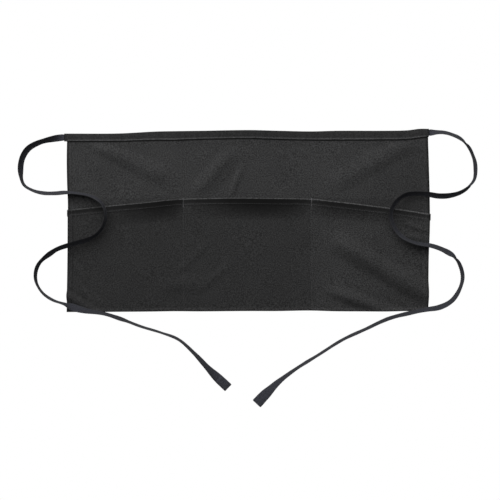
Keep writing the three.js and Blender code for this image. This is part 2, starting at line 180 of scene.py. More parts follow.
POCKET_MOUTHS = Table(
    ("pocket", "lift", "reach", "peak", "gather"),
    ((0, 0.9, 1.0, 0.8, 0.7), (1, 1.0, 1.0, 0.6, 0.8), (2, 0.75, 0.85, 0.25, 1.0)),
)
CREASE = ("from_across", "from_down", "to_across", "to_down", "rise", "from_reach", "to_reach")
CREASES = Table(
    CREASE,
    (
        (0.03, 0.04, 0.32, 0.3, 0.9, 0.6, 1.3),
        (0.46, 0.09, 0.34, 0.37, 0.55, 0.8, 0.8),
        (1.0, 0.01, 0.69, 0.35, 0.6, 1.0, 1.2),
        (0.7, 0.52, 1.02, 0.96, 0.6, 0.8, 1.4),
        (0.7, 0.82, 0.89, 1.04, 0.3, 0.9, 1.0),
        (0.0, 0.83, 0.13, 1.02, 0.3, 0.6, 0.7),
        (0.24, 0.85, 0.4, 0.85, 0.4, 0.9, 0.9),
    ),
)
FINE_CREASES = Table(
    CREASE,
    (
        (0.035, 0.06, 0.095, 0.3, 0.25, 0.4, 0.6),
        (0.493, 0.16, 0.44, 0.41, 0.35, 0.4, 0.4),
        (0.485, 0.07, 0.355, 0.38, 0.5, 1.0, 1.1),
        (0.69, 0.56, 1.08, 1.0, 1.7, 1.0, 1.3),
        (0.7, 0.87, 0.98, 1.06, 1.2, 0.65, 0.75),
        (-0.05, 0.86, 0.12, 1.05, 1.2, 0.5, 0.55),
        (0.015, 0.72, 0.06, 0.87, 0.2, 0.3, 0.3),
        (0.29, 0.81, 0.4, 0.6, 0.22, 0.5, 0.5),
        (0.34, 0.93, 0.47, 0.7, 0.22, 0.5, 0.5),
        (0.92, 0.5, 1.01, 0.57, 0.4, 0.3, 0.3),
        (0.91, 0.57, 1.01, 0.61, 0.35, 0.35, 0.35),
    ),
)


@dataclass(frozen=True)
class ApronShape:
    """The sizes that all pieces share, and how high each ply lies over a point of the plane."""

    length: float = 304.5
    width: float = 609.0
    wall: float = 1.1
    gap: float = 0.3
    side_hem: float = 7.0
    hem_extra: float = 0.8
    hem_fade: float = 2.5
    band_left_overhang: float = 6.0
    band_right_overhang: float = 0.5
    band_height: float = 14.0
    band_wall: float = 1.0
    band_ramp: float = 16.0
    pocket_depth: float = 191.5
    left_pocket: float = 195.0
    right_pocket: float = 198.0
    mouth_hem: float = 9.8
    mouth_lift: float = 12.0
    mouth_reach: float = 37.0
    mouth_curl: float = 2.0
    corner_bulge: float = 1.0
    crease_rise: float = 5.4
    crease_reach: float = 20.0
    tie_wall: float = 1.2
    tie_tuck: float = 12.0
    tuck_width: float = 9.6
    exit_width: float = 11.0
    ripple: float = 0.45
    pucker: float = 0.16
    band_seam: float = 2.2
    mouth_seam: float = 9.3
    crease_fade: float = 0.3
    ripple_count: int = 12
    ripple_lengths: tuple[float, float] = (38.0, 150.0)
    pucker_lengths: tuple[float, ...] = (8.7, 11.3, 17.9)
    thread_pull: float = 1.2
    fold_samples: int = 77
    side_marks: tuple[float, ...] = (
        0, 0.12, 0.35, 0.65, 1.0, 1.6, 2.6, 4.5, 6.3, 7.0, 7.7, 9.5, 11.0, 12.6, 14.5,
    )
    divider_marks: tuple[float, ...] = (-4.2, -2.6, -1.3, 0, 1.3, 2.6, 4.2)

    @property
    def slot_floor(self) -> float:
        """The height of the band's slot over the floor."""
        return self.band_wall + self.gap

    @property
    def band_thickness(self) -> float:
        """The band's two plies with its slot between them."""
        return 2 * self.slot_floor + max(self.wall, self.tie_wall)

    @property
    def dividers(self) -> tuple[float, float]:
        """Where the two lines of stitching between the pockets run."""
        return (self.left_pocket - self.width / 2, self.width / 2 - self.right_pocket)

    @property
    def shift(self) -> tuple[float, float]:
        """How far the apron's own plane is moved in the frame, in millimetres."""
        places = np.linspace(-self.width / 2, self.width / 2, self.fold_samples)
        lowest = float(np.min(self.bottom_fold(places)))
        return (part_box("waistband")[0].x / MM - self.band_end(-1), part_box("pocket_panel")[0].y / MM - lowest)

    def across(self, x: Array) -> Array:
        """The share of the width from the left side to x."""
        return np.asarray(x, float) / self.width + 0.5

    def down(self, y: Array) -> Array:
        """The share of the length from the top edge to y."""
        return 0.5 - np.asarray(y, float) / self.length

    def top_edge(self, x: Array) -> Array:
        """The waistband's top edge."""
        return self.length * (0.5 + LENGTHWISE_EDGES.read("top", self.across(x)))

    def band_end(self, side: int) -> float:
        """The x of the waistband's left end (side -1) or right end (1)."""
        return side * (self.width / 2 + (self.band_left_overhang if side < 0 else self.band_right_overhang))

    def towards_band(self, x: Array, y: Array) -> Array:
        """How far the panel is into its climb to the band's slot, from 0 to 1."""
        low = self.band_edge(x)
        return ramp(y, low - self.band_ramp, low)

    def band_edge(self, x: Array) -> Array:
        """The waistband's lower edge."""
        return self.top_edge(x) - self.band_height * LENGTHWISE_EDGES.read("tall", self.across(x))

    def bottom_fold(self, x: Array) -> Array:
        """The fold along the bottom."""
        return -self.length * (0.5 + LENGTHWISE_EDGES.read("bottom", self.across(x)))

    def fold_start(self, x: Array) -> Array:
        """Where the flat cloth ends and the roll of the bottom fold starts."""
        return self.bottom_fold(x) + self.wall + self.gap / 2

    def mouth(self, x: Array) -> Array:
        """The pockets' upper edge."""
        return self.bottom_fold(x) + self.pocket_depth * MOUTH_LINE.read("tall", self.across(x))

    def left_edge(self, y: Array) -> Array:
        """The left side."""
        return -self.width * (0.5 + SIDE_EDGES.read("left", self.down(y)))

    def right_edge(self, y: Array) -> Array:
        """The right side."""
        return self.width * (0.5 + SIDE_EDGES.read("right", self.down(y)))

    def inward(self, x: Array, y: Array) -> Array:
        """The distance in from the nearer side."""
        return np.minimum(x - self.left_edge(y), self.right_edge(y) - x)

    def creases(self, x: Array, y: Array) -> Array:
        """The height of the creases: smooth ridges that fade out at both of their ends."""
        total = np.zeros(np.broadcast(x, y).shape)
        for row in CREASES.rows + FINE_CREASES.rows:
            c = dict(zip(CREASE, row))
            start = np.array([(c["from_across"] - 0.5) * self.width, (0.5 - c["from_down"]) * self.length])
            end = np.array([(c["to_across"] - 0.5) * self.width, (0.5 - c["to_down"]) * self.length])
            run = end - start
            size = float(np.hypot(*run))
            t = ((x - start[0]) * run[0] + (y - start[1]) * run[1]) / size**2
            aside = np.abs((x - start[0]) * run[1] - (y - start[1]) * run[0]) / size
            reach = self.crease_reach * mix(c["from_reach"], c["to_reach"], np.clip(t, 0, 1))
            ends = ramp(t, 0, self.crease_fade) * ramp(-t, -1, self.crease_fade - 1)
            total += self.crease_rise * c["rise"] * ends * (1 - np.clip(aside / reach, 0, 1) ** 2) ** 2
        return total

    def ripples(self, x: Array, y: Array, seed: int) -> Array:
        """Slack in the cloth: low broad waves that run every way, never under the plane."""
        draw = np.random.default_rng(seed)
        total, reach = np.zeros(np.broadcast(x, y).shape), 0.0
        for _ in range(self.ripple_count):
            heading, phase = draw.uniform(0, math.pi), draw.uniform(0, 2 * math.pi)
            length = draw.uniform(*self.ripple_lengths)
            height = (length / 100) ** 1.2
            along = x * math.cos(heading) + y * math.sin(heading)
            total += height * np.sin(2 * math.pi * along / length + phase)
            reach += height**2
        return self.ripple * np.maximum(total / math.sqrt(reach) + 1.2, 0)

    def puckers(self, offset: Array, along: Array, reach: float, seed: int) -> Array:
        """How a line of stitching gathers the cloth beside it.

        Args:
            offset: Distance from the stitching.
            along: Distance along the stitching.
            reach: How far the small folds run out from it.
            seed: Which of the possible folds these are.

        Returns:
            Heights, from 0 up.
        """
        near = np.exp(-((offset / reach) ** 2)) * (1 - np.exp(-((offset / self.thread_pull) ** 2)))
        return self.pucker * near * (1 + waves(along, self.pucker_lengths, seed))

    def panel_underside(self, x: Array, y: Array) -> Array:
        """The back cloth's underside, on the floor but over its creases and up into the band's slot."""
        low, fold = self.band_edge(x), self.bottom_fold(x)
        slack = self.creases(x, y) + self.ripples(x, y, Draw.PANEL_RIPPLES) * ramp(y, fold, fold + 24)
        slack = slack + self.puckers(low - y, x, 9.0, Draw.BAND_PUCKERS) * ramp(low - y, 0, 4)
        return mix(slack, self.slot_floor, self.towards_band(x, y))

    def side_hem_wall(self, x: Array, y: Array) -> Array:
        """What a side hem adds to the wall: nothing in the band, where the turned cloth is trimmed away."""
        turned = fade(self.inward(x, y), self.side_hem, self.side_hem + self.hem_fade)
        return self.hem_extra * turned * (1 - self.towards_band(x, y))

    def panel_face(self, x: Array, y: Array) -> Array:
        """The back cloth's face."""
        return self.panel_underside(x, y) + self.wall + self.side_hem_wall(x, y)

    def mouth_place(self, x: Array, y: Array) -> tuple[Array, Array]:
        """How far a pocket's mouth stands open at x, from 0 to 1, and how far below it y is, in reaches."""
        walls = np.array([-self.width / 2, *self.dividers, self.width / 2])
        i = np.clip(np.searchsorted(walls, x, side="left") - 1, 0, 2)
        share = np.clip((x - walls[i]) / (walls[i + 1] - walls[i]), 1e-6, 1)
        peak, gather = POCKET_MOUTHS.column("peak")[i], POCKET_MOUTHS.column("gather")[i]
        arch = np.clip(np.sin(math.pi * share ** (math.log(0.5) / np.log(peak))), 0, 1) ** gather
        below = np.clip((self.mouth(x) - y) / (self.mouth_reach * POCKET_MOUTHS.column("reach")[i]), 0, 1)
        return POCKET_MOUTHS.column("lift")[i] * arch, below

    def pocket_lift(self, x: Array, y: Array) -> Array:
        """How far the pocket cloth stands off: up at the mouths, and down at the sides and dividers."""
        opened, below = self.mouth_place(x, y)
        fall = ((self.mouth_curl + 1) * below - below ** (self.mouth_curl + 1)) / self.mouth_curl
        return self.mouth_lift * opened * (1 - fall)

    def pocket_slack(self, x: Array, y: Array) -> Array:
        """Slack and puckers of the pocket cloth alone, none of them at the sides and the bottom fold."""
        fold = self.bottom_fold(x)
        free = ramp(y, fold + 4, fold + 40) * ramp(self.inward(x, y), 6, 40)
        total = self.ripples(x, y, Draw.POCKET_RIPPLES) * free
        for seed, wall in enumerate(self.dividers, start=Draw.DIVIDER_PUCKERS):
            total = total + self.puckers(x - wall, y, 8.0, seed) * ramp(y, fold, fold + 10)
        return total + self.puckers(self.mouth(x) - y - self.mouth_seam, x, 7.0, Draw.MOUTH_PUCKERS)

    def pocket_underside(self, x: Array, y: Array) -> Array:
        """The pocket cloth's inner face."""
        return self.panel_face(x, y) + self.gap + self.pocket_lift(x, y) + self.pocket_slack(x, y)

    def mouth_hem_wall(self, x: Array, y: Array) -> Array:
        """What the mouth's hem adds to the wall."""
        return self.hem_extra * fade(self.mouth(x) - y, self.mouth_hem, self.mouth_hem + self.hem_fade)

    def pocket_face(self, x: Array, y: Array) -> Array:
        """The pocket cloth's face."""
        hems = np.maximum(self.mouth_hem_wall(x, y), self.side_hem_wall(x, y))
        return self.pocket_underside(x, y) + self.wall + hems

    def cloth_top(self, x: Array, y: Array) -> Array:
        """The height of whatever cloth lies under a point, and 0 beside the apron."""
        inside = (x > self.left_edge(y)) & (x < self.right_edge(y))
        inside = inside & (y > self.bottom_fold(x)) & (y < self.top_edge(x))
        cloth = np.where(y > self.mouth(x), self.panel_face(x, y), self.pocket_face(x, y))
        return np.where(inside, np.where(y > self.band_edge(x), self.band_thickness, cloth) + self.gap, 0.0)

    def tuck_top(self, side: int) -> float:
        """The upper edge of a tape's end in the band's slot, on the left side (-1) or the right (1)."""
        ends = np.array([self.band_end(side), self.band_end(side) - side * self.tie_tuck])
        return float(np.min(self.top_edge(ends))) - self.band_wall - 2 * self.gap

    def columns(self, step: float) -> Array:
        """The places across, closer together along hems, sides and dividers, that all cloth pieces share."""
        marks = [*self.side_marks, *(self.width - d for d in self.side_marks)]
        for wall in self.dividers:
            marks += [wall + self.width / 2 + d for d in self.divider_marks]
        marks = sorted(marks)
        places = [marks[0]]
        for a, b in zip(marks, marks[1:]):
            count = max(1, round((b - a) / step))
            places += [a + (b - a) * k / count for k in range(1, count + 1)]
        return np.array(places) - self.width / 2


SHAPE = ApronShape()


def in_frame(points: Array) -> Array:
    """Points of the apron's plane, in millimetres, moved into the frame, in metres."""
    return (points + np.array([*SHAPE.shift, 0.0])) * MM


# Meshes


@dataclass
class ClothMesh:
    """A closed skin over a row of sections, with cloth coordinates and a tone for each of its points, which
    holds painted light and shade.
    """

    name: str
    upper: Array
    lower: Array
    cloth: Array
    tone: Array
    sharp_angle: float = 50.0

    def make(self) -> Object:
        """Makes the object.

        Returns:
            A smooth-shaded mesh in the frame, with a UV map in metres of cloth and a tone attribute.
        """
        count, size = self.upper.shape[:2]
        rings = np.concatenate([self.upper, self.lower[:, ::-1]], axis=1)
        cloth = np.concatenate([self.cloth, self.cloth[:, ::-1]], axis=1).reshape(-1, 2)
        tone = np.concatenate([self.tone, self.tone[:, ::-1]], axis=1).reshape(-1)
        ring = 2 * size
        k, i = np.meshgrid(np.arange(count - 1), np.arange(ring), indexing="ij")
        j = (i + 1) % ring
        walls = np.stack([k * ring + i, k * ring + j, (k + 1) * ring + j, (k + 1) * ring + i], axis=-1)
        i = np.arange(size - 1)
        first = np.stack([i, ring - 1 - i, ring - 2 - i, i + 1], axis=-1)
        last = np.stack([i, i + 1, ring - 2 - i, ring - 1 - i], axis=-1) + (count - 1) * ring
        faces = np.concatenate([walls.reshape(-1, 4), first, last]).tolist()
        piece = new_piece(self.name, rings.reshape(-1, 3), faces)
        mesh = piece.data
        corner = np.zeros(len(mesh.loops), np.int32)
        mesh.loops.foreach_get("vertex_index", corner)
        layer = mesh.uv_layers.new(name="cloth")
        layer.data.foreach_set("uv", (cloth[corner] * MM).astype(np.float32).ravel())
        attribute = mesh.attributes.new("tone", "FLOAT", "POINT")
        attribute.data.foreach_set("value", tone.astype(np.float32))
        mesh.validate()
        mesh.update()
        bpy.ops.object.shade_smooth_by_angle(angle=math.radians(self.sharp_angle))
        return piece


def new_piece(name: str, points: Array, faces: list[list[int]]) -> Object:
    """Makes an object at the origin, selected and active.

    Args:
        name: The piece's name.
        points: Points in millimetres of the apron's plane.
        faces: The corners of each face.

    Returns:
        The object, its points moved into the frame.
    """
    mesh = bpy.data.meshes.new(name)
    mesh.from_pydata(in_frame(points).tolist(), [], faces)
    mesh.update()
    piece = bpy.data.objects.new(name, mesh)
    bpy.context.scene.collection.objects.link(piece)
    only(piece)
    return piece


def dress(piece: Object, material: Material) -> Object:
    """Gives a piece its finish, lets it ride on the apron and logs it."""
    piece.data.materials.append(material)
    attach(piece, BODY)
    LOG.info("%s: %d faces", piece.name, len(piece.data.polygons))
    return piece


def only(piece: Object) -> None:
    """Deselects everything, then selects this piece alone and makes it active."""
    bpy.ops.object.select_all(action="DESELECT")
    piece.select_set(True)
    bpy.context.view_layer.objects.active = piece


def rounding(inward: Array, radius: float, thinnest: float = 0.06) -> Array:
    """The share of its thickness that a folded edge has at a distance in from the edge."""
    return np.maximum(np.sqrt(np.clip(1 - (1 - np.clip(inward / radius, 0, 1)) ** 2, 0, 1)), thinnest)


def plump(upper: Array, lower: Array, share: Array) -> tuple[Array, Array]:
    """Draws both faces in towards the middle between them, where an edge is rounded."""
    middle = (upper + lower) / 2
    return middle + (upper - middle) * share, middle + (lower - middle) * share


# Finishes


class Weave(Enum):
    """How the yarns show: the size of the twill's diagonal ribs, in metres."""

    PANEL_TWILL = 0.00085
    TAPE_TWILL = 0.0007


def add_node(tree: NodeTree, kind: str, **values: object) -> Node:
    """Adds a node.

    Args:
        tree: The tree it goes into.
        kind: The node's type.
        **values: Properties of the node, and inputs by name or as in_0, in_1 and so on.

    Returns:
        The node.
    """
    node = tree.nodes.new(kind)
    for name, value in values.items():
        if name.startswith("in_"):
            node.inputs[int(name[3:])].default_value = value
        elif name in {p.identifier for p in node.bl_rna.properties}:
            setattr(node, name, value)
        else:
            node.inputs[name].default_value = value
    return node


def maths(tree: NodeTree, operation: str, *terms: object) -> NodeSocket:
    """Adds a Math node whose terms are numbers or sockets, and returns its output."""
    node = add_node(tree, "ShaderNodeMath", operation=operation)
    for socket, term in zip(node.inputs, terms):
        if isinstance(term, NodeSocket):
            tree.links.new(term, socket)
        else:
            socket.default_value = term
    return node.outputs[0]


def new_group(name: str, inputs: dict[str, str], outputs: dict[str, str]) -> tuple[NodeTree, dict, dict]:
    """Starts a node group.

    Args:
        name: The group's name.
        inputs: Each input's name and socket type.
        outputs: Each output's name and socket type.

    Returns:
        The group, its inputs by name and its outputs by name.
    """
    tree = bpy.data.node_groups.new(name, "ShaderNodeTree")
    for label, kind in inputs.items():
        tree.interface.new_socket(name=label, in_out="INPUT", socket_type=kind)
    for label, kind in outputs.items():
        tree.interface.new_socket(name=label, in_out="OUTPUT", socket_type=kind)
    source, sink = tree.nodes.new("NodeGroupInput"), tree.nodes.new("NodeGroupOutput")
    return tree, {s.name: s for s in source.outputs}, {s.name: s for s in sink.inputs}


FLOAT, VECTOR = "NodeSocketFloat", "NodeSocketVector"


def twill_group() -> NodeTree:
    """The twill weave: diagonal ribs broken into yarns, as a height and a shade from 0 to 1."""
    tree, given, wanted = new_group(
        "twill_weave", {"Cloth": VECTOR, "Rib": FLOAT}, dict.fromkeys(("Height", "Shade"), FLOAT)
    )
    parts = add_node(tree, "ShaderNodeSeparateXYZ")
    tree.links.new(given["Cloth"], parts.inputs[0])
    turn = maths(tree, "DIVIDE", 2 * math.pi, given["Rib"])
    uneven = add_node(tree, "ShaderNodeTexNoise", Scale=900.0, Detail=1.0)
    tree.links.new(given["Cloth"], uneven.inputs["Vector"])
    sway = maths(tree, "MULTIPLY", uneven.outputs["Fac"], 1.6)
    x, y = (maths(tree, "MULTIPLY", parts.outputs[axis], turn) for axis in ("X", "Y"))
    diagonal = maths(tree, "ADD", maths(tree, "ADD", x, maths(tree, "MULTIPLY", y, -0.75)), sway)
    rib = maths(tree, "MULTIPLY_ADD", maths(tree, "SINE", diagonal), 0.5, 0.5)
    yarn = maths(tree, "MULTIPLY_ADD", maths(tree, "SINE", maths(tree, "MULTIPLY", y, 2.0)), 0.5, 0.5)
    tree.links.new(maths(tree, "MULTIPLY_ADD", rib, 0.7, maths(tree, "MULTIPLY", yarn, 0.3)), wanted["Height"])
    tree.links.new(rib, wanted["Shade"])
    return tree


def wear_group() -> NodeTree:
    """Uneven dye and lint: a factor for the colour round 1, and a mask of fine fibres."""
    tree, given, wanted = new_group(
        "dye_and_lint",
        {"Place": VECTOR, "Mottle": FLOAT, "Cloud": FLOAT, "Lint": FLOAT},
        dict.fromkeys(("Factor", "Fibre", "Grain"), FLOAT),
    )
    total: object = 1.0
    for scale, detail, amount in ((560.0, 2.0, "Mottle"), (17.0, 3.0, "Cloud")):
        noise = add_node(tree, "ShaderNodeTexNoise", Scale=scale, Detail=detail, Roughness=0.55)
        tree.links.new(given["Place"], noise.inputs["Vector"])
        centred = maths(tree, "SUBTRACT", noise.outputs["Fac"], 0.5)
        total = maths(tree, "ADD", total, maths(tree, "MULTIPLY", centred, given[amount]))
        if amount == "Mottle":
            tree.links.new(noise.outputs["Fac"], wanted["Grain"])
    tree.links.new(total, wanted["Factor"])
    cells = add_node(tree, "ShaderNodeTexVoronoi", feature="F1", Scale=85.0)
    tree.links.new(given["Place"], cells.inputs["Vector"])
    speck = maths(tree, "LESS_THAN", cells.outputs["Distance"], 0.035)
    chance = add_node(tree, "ShaderNodeTexNoise", Scale=9.0, Detail=0.0)
    tree.links.new(given["Place"], chance.inputs["Vector"])
    some = maths(tree, "GREATER_THAN", chance.outputs["Fac"], 0.52)
    fibre = maths(tree, "MULTIPLY", maths(tree, "MULTIPLY", speck, some), given["Lint"])
    tree.links.new(fibre, wanted["Fibre"])
    return tree


class DyedMaterial:
    """A material in the making, with the dye and lint group laid on object coordinates."""

    def __init__(self, name: str, groups: dict[str, NodeTree], **wear: float) -> None:
        """Starts the material.

        Args:
            name: The material's name.
            groups: The node groups by name.
            **wear: Values for the inputs of the dye and lint group.
        """
        self.made = bpy.data.materials.new(name)
        self.made.use_nodes = True
        self.tree = self.made.node_tree
        self.shader = self.tree.nodes["Principled BSDF"]
        self.place = add_node(self.tree, "ShaderNodeTexCoord").outputs["Object"]
        group = add_node(self.tree, "ShaderNodeGroup", node_tree=groups["dye_and_lint"], **wear)
        self.tree.links.new(self.place, group.inputs["Place"])
        self.wear = group.outputs

    def tint(self, colour: tuple[float, float, float], factor: NodeSocket) -> NodeSocket:
        """A colour times a factor."""
        tint = add_node(self.tree, "ShaderNodeVectorMath", operation="SCALE", in_0=colour)
        self.tree.links.new(factor, tint.inputs["Scale"])
        return tint.outputs[0]

    def roughen(self, middle: float, spread: float) -> None:
        """Sets the roughness: a middle value that the grain moves up and down."""
        rough = maths(self.tree, "MULTIPLY_ADD", self.wear["Grain"], spread, middle - spread / 2)
        self.tree.links.new(rough, self.shader.inputs["Roughness"])

    def emboss(self, height: NodeSocket, strength: float, depth: float) -> None:
        """Sets the normal from a height.

        Args:
            height: The height, from 0 to 1.
            strength: How much of it shows.
            depth: How high 1 stands, in metres.
        """
        bump = add_node(self.tree, "ShaderNodeBump", Strength=strength, Distance=depth)
        self.tree.links.new(height, bump.inputs["Height"])
        self.tree.links.new(bump.outputs[0], self.shader.inputs["Normal"])


@dataclass(frozen=True)
class ClothFinish:
    """A dyed twill: its colour, weave, unevenness and gloss."""

    name: str
    colour: tuple[float, float, float]
    weave: Weave
    roughness: float = 0.88
    mottle: float = 3.8
    cloud: float = 0.35
    rib_depth: float = 0.00012
    rib_shade: float = 0.28
    specular: float = 0.25
    sheen: float = 0.06
    lint: float = 0.5
    lint_colour: tuple[float, float, float, float] = (0.16, 0.16, 0.165, 1.0)

    def material(self, groups: dict[str, NodeTree]) -> Material:
        """Builds the material.

        Args:
            groups: The node groups by name.

        Returns:
            A material that reads the cloth's UV map, object coordinates and the tone attribute.
        """
        dyed = DyedMaterial(self.name, groups, Mottle=self.mottle, Cloud=self.cloud, Lint=self.lint)
        tree, shader, wear = dyed.tree, dyed.shader, dyed.wear
        cloth = add_node(tree, "ShaderNodeUVMap", uv_map="cloth")
        weave = add_node(tree, "ShaderNodeGroup", node_tree=groups["twill_weave"], Rib=self.weave.value)
        tree.links.new(cloth.outputs[0], weave.inputs["Cloth"])
        tone = add_node(tree, "ShaderNodeAttribute", attribute_name="tone")
        shade = maths(tree, "MULTIPLY_ADD", weave.outputs["Shade"], self.rib_shade, 1 - self.rib_shade / 2)
        # The tone attribute brings painted light and shade into the colour.
        factor = maths(tree, "MULTIPLY", maths(tree, "MULTIPLY", wear["Factor"], shade), tone.outputs["Fac"])
        fibres = add_node(tree, "ShaderNodeMix", data_type="RGBA")
        fibres.inputs["B"].default_value = self.lint_colour
        tree.links.new(wear["Fibre"], fibres.inputs["Factor"])
        tree.links.new(dyed.tint(self.colour, factor), fibres.inputs["A"])
        tree.links.new(fibres.outputs["Result"], shader.inputs["Base Color"])
        dyed.roughen(self.roughness, 0.1)
        height = maths(tree, "MULTIPLY_ADD", wear["Grain"], 0.9, weave.outputs["Height"])
        dyed.emboss(height, 0.8, self.rib_depth)
        shader.inputs["Specular IOR Level"].default_value = self.specular
        shader.inputs["Sheen Weight"].default_value = self.sheen
        shader.inputs["Sheen Roughness"].default_value = 0.6
        return dyed.made


@dataclass(frozen=True)
class ThreadFinish:
    """Polyester sewing thread: twisted plies with a soft gloss."""

    name: str = "sewing_thread"
    colour: tuple[float, float, float] = (0.055, 0.055, 0.058)
    roughness: float = 0.5
    twist_depth: float = 0.0001

    def material(self, groups: dict[str, NodeTree]) -> Material:
        """Builds the material.

        Args:
            groups: The node groups by name.

        Returns:
            A material that reads object coordinates.
        """
        dyed = DyedMaterial(self.name, groups, Mottle=1.2, Cloud=0.3)
        tree, shader = dyed.tree, dyed.shader
        tree.links.new(dyed.tint(self.colour, dyed.wear["Factor"]), shader.inputs["Base Color"])
        twist = add_node(tree, "ShaderNodeTexWave", Scale=900.0, bands_direction="DIAGONAL")
        tree.links.new(dyed.place, twist.inputs["Vector"])
        dyed.emboss(twist.outputs["Fac"], 0.5, self.twist_depth)
        dyed.roughen(self.roughness, 0.2)
        shader.inputs["Sheen Weight"].default_value = 0.1
        return dyed.made


# Sewing


@dataclass(frozen=True)
class Seam:
    """A row of stitches along a line that lies on the cloth."""

    points: Array
    normal: Array
    pitch: float = 3.0
    stitch: float = 2.5

    def frames(self) -> tuple[Array, Array, Array]:
        """The middle, direction and normal of each stitch."""
        steps = np.linalg.norm(np.diff(self.points, axis=0), axis=1)
        reach = np.concatenate([[0.0], np.cumsum(steps)])
        count = max(1, int(reach[-1] / self.pitch))
        middle = (np.arange(count) + 0.5) * reach[-1] / count

        def at(values: Array, where: Array) -> Array:
            """Values along the line at some distances."""
            return np.stack([np.interp(where, reach, values[:, axis]) for axis in range(3)], axis=1)

        ahead = at(self.points, middle + self.stitch / 2) - at(self.points, middle - self.stitch / 2)
        ahead /= np.maximum(np.linalg.norm(ahead, axis=1, keepdims=True), 1e-9)
        up = at(np.broadcast_to(self.normal, self.points.shape), middle)
        up -= ahead * np.sum(up * ahead, axis=1, keepdims=True)
        up /= np.maximum(np.linalg.norm(up, axis=1, keepdims=True), 1e-9)
        return at(self.points, middle), ahead, up


@dataclass
class Needlework:
    """Sews seams: one stitch is modelled once, and each seam gets its own copies of it."""

    thread: float = 0.5
    proud: float = 0.12
    sides: int = 6
    flatness: float = 0.8
    dive: float = 0.5
    points: Array = field(default_factory=lambda: np.zeros((0, 3)))
    faces: list[list[int]] = field(default_factory=list)

    def model_stitch(self) -> None:
        """Models one stitch a millimetre long: a thread that dives into the cloth at both of its ends."""
        bpy.ops.object.select_all(action="DESELECT")
        bpy.ops.mesh.primitive_uv_sphere_add(
            segments=self.sides, ring_count=self.sides, radius=0.5, rotation=(0, math.pi / 2, 0)
        )
        stitch = bpy.context.object
        bpy.ops.object.transform_apply(location=True, rotation=True, scale=True)
        bpy.ops.object.mode_set(mode="EDIT")
        bpy.ops.mesh.select_all(action="SELECT")
        bpy.ops.transform.resize(value=(1.0, 1.0, self.flatness))
        bpy.ops.object.mode_set(mode="OBJECT")
        self.points = np.array([v.co for v in stitch.data.vertices])
        self.points[:, 2] -= self.dive * np.abs(2 * self.points[:, 0]) ** 3
        self.faces = [list(face.vertices) for face in stitch.data.polygons]
        bpy.data.objects.remove(stitch, do_unlink=True)

    def sew(self, name: str, seams: list[Seam], material: Material) -> Object:
        """Sews some seams into one piece.

        Args:
            name: The piece's name.
            seams: The rows of stitches in it.
            material: The thread's material.

        Returns:
            The piece, riding on the apron.
        """
        if not self.faces:
            self.model_stitch()
        blocks = []
        for seam in seams:
            middle, ahead, up = seam.frames()
            aside = np.cross(up, ahead)
            local = self.points * np.array([seam.stitch, self.thread, self.thread])
            placed = (
                middle[:, None]
                + ahead[:, None] * local[None, :, :1]
                + aside[:, None] * local[None, :, 1:2]
                + up[:, None] * (local[None, :, 2:] + self.proud)
            )
            blocks.append(placed.reshape(-1, 3))
        points = np.concatenate(blocks)
        copies = len(points) // len(self.points)
        faces = [[v + k * len(self.points) for v in face] for k in range(copies) for face in self.faces]
        piece = new_piece(name, points, faces)
        bpy.ops.object.shade_smooth()
        dress(piece, material)
        return piece


# The apron's cloth


@dataclass
class LaidCloth:
    """A cloth that lies between the apron's sides, its side edges turned and pressed, with painted shade along
    them.

    Each fade or ramp is a pair of distances in millimetres, where it starts and where it ends.
    """

    step: float = 2.6
    edge_round: float = 0.9
    # The side edges' painted shade: how dark it gets, and over which distance in from the side.
    edge_shade: float = 0.2
    edge_fade: tuple[float, float] = (2.0, 3.8)

    def rows(self, x: Array) -> Array:
        """The rows of points down the cloth, for each column."""
        raise NotImplementedError

    def lay(self) -> tuple[Array, Array, Array]:
        """Lays the cloth's points out.

        Returns:
            The columns' places across a straight apron, and each point's x and y.
        """
        x = SHAPE.columns(self.step)
        y = self.rows(x)
        return x, mix(SHAPE.left_edge(y), SHAPE.right_edge(y), SHAPE.across(x)[:, None]), y

    def side_tone(self, x: Array, y: Array) -> Array:
        """Painted shade along the turned sides."""
        return dim(self.edge_shade, fade(SHAPE.inward(x, y), *self.edge_fade))


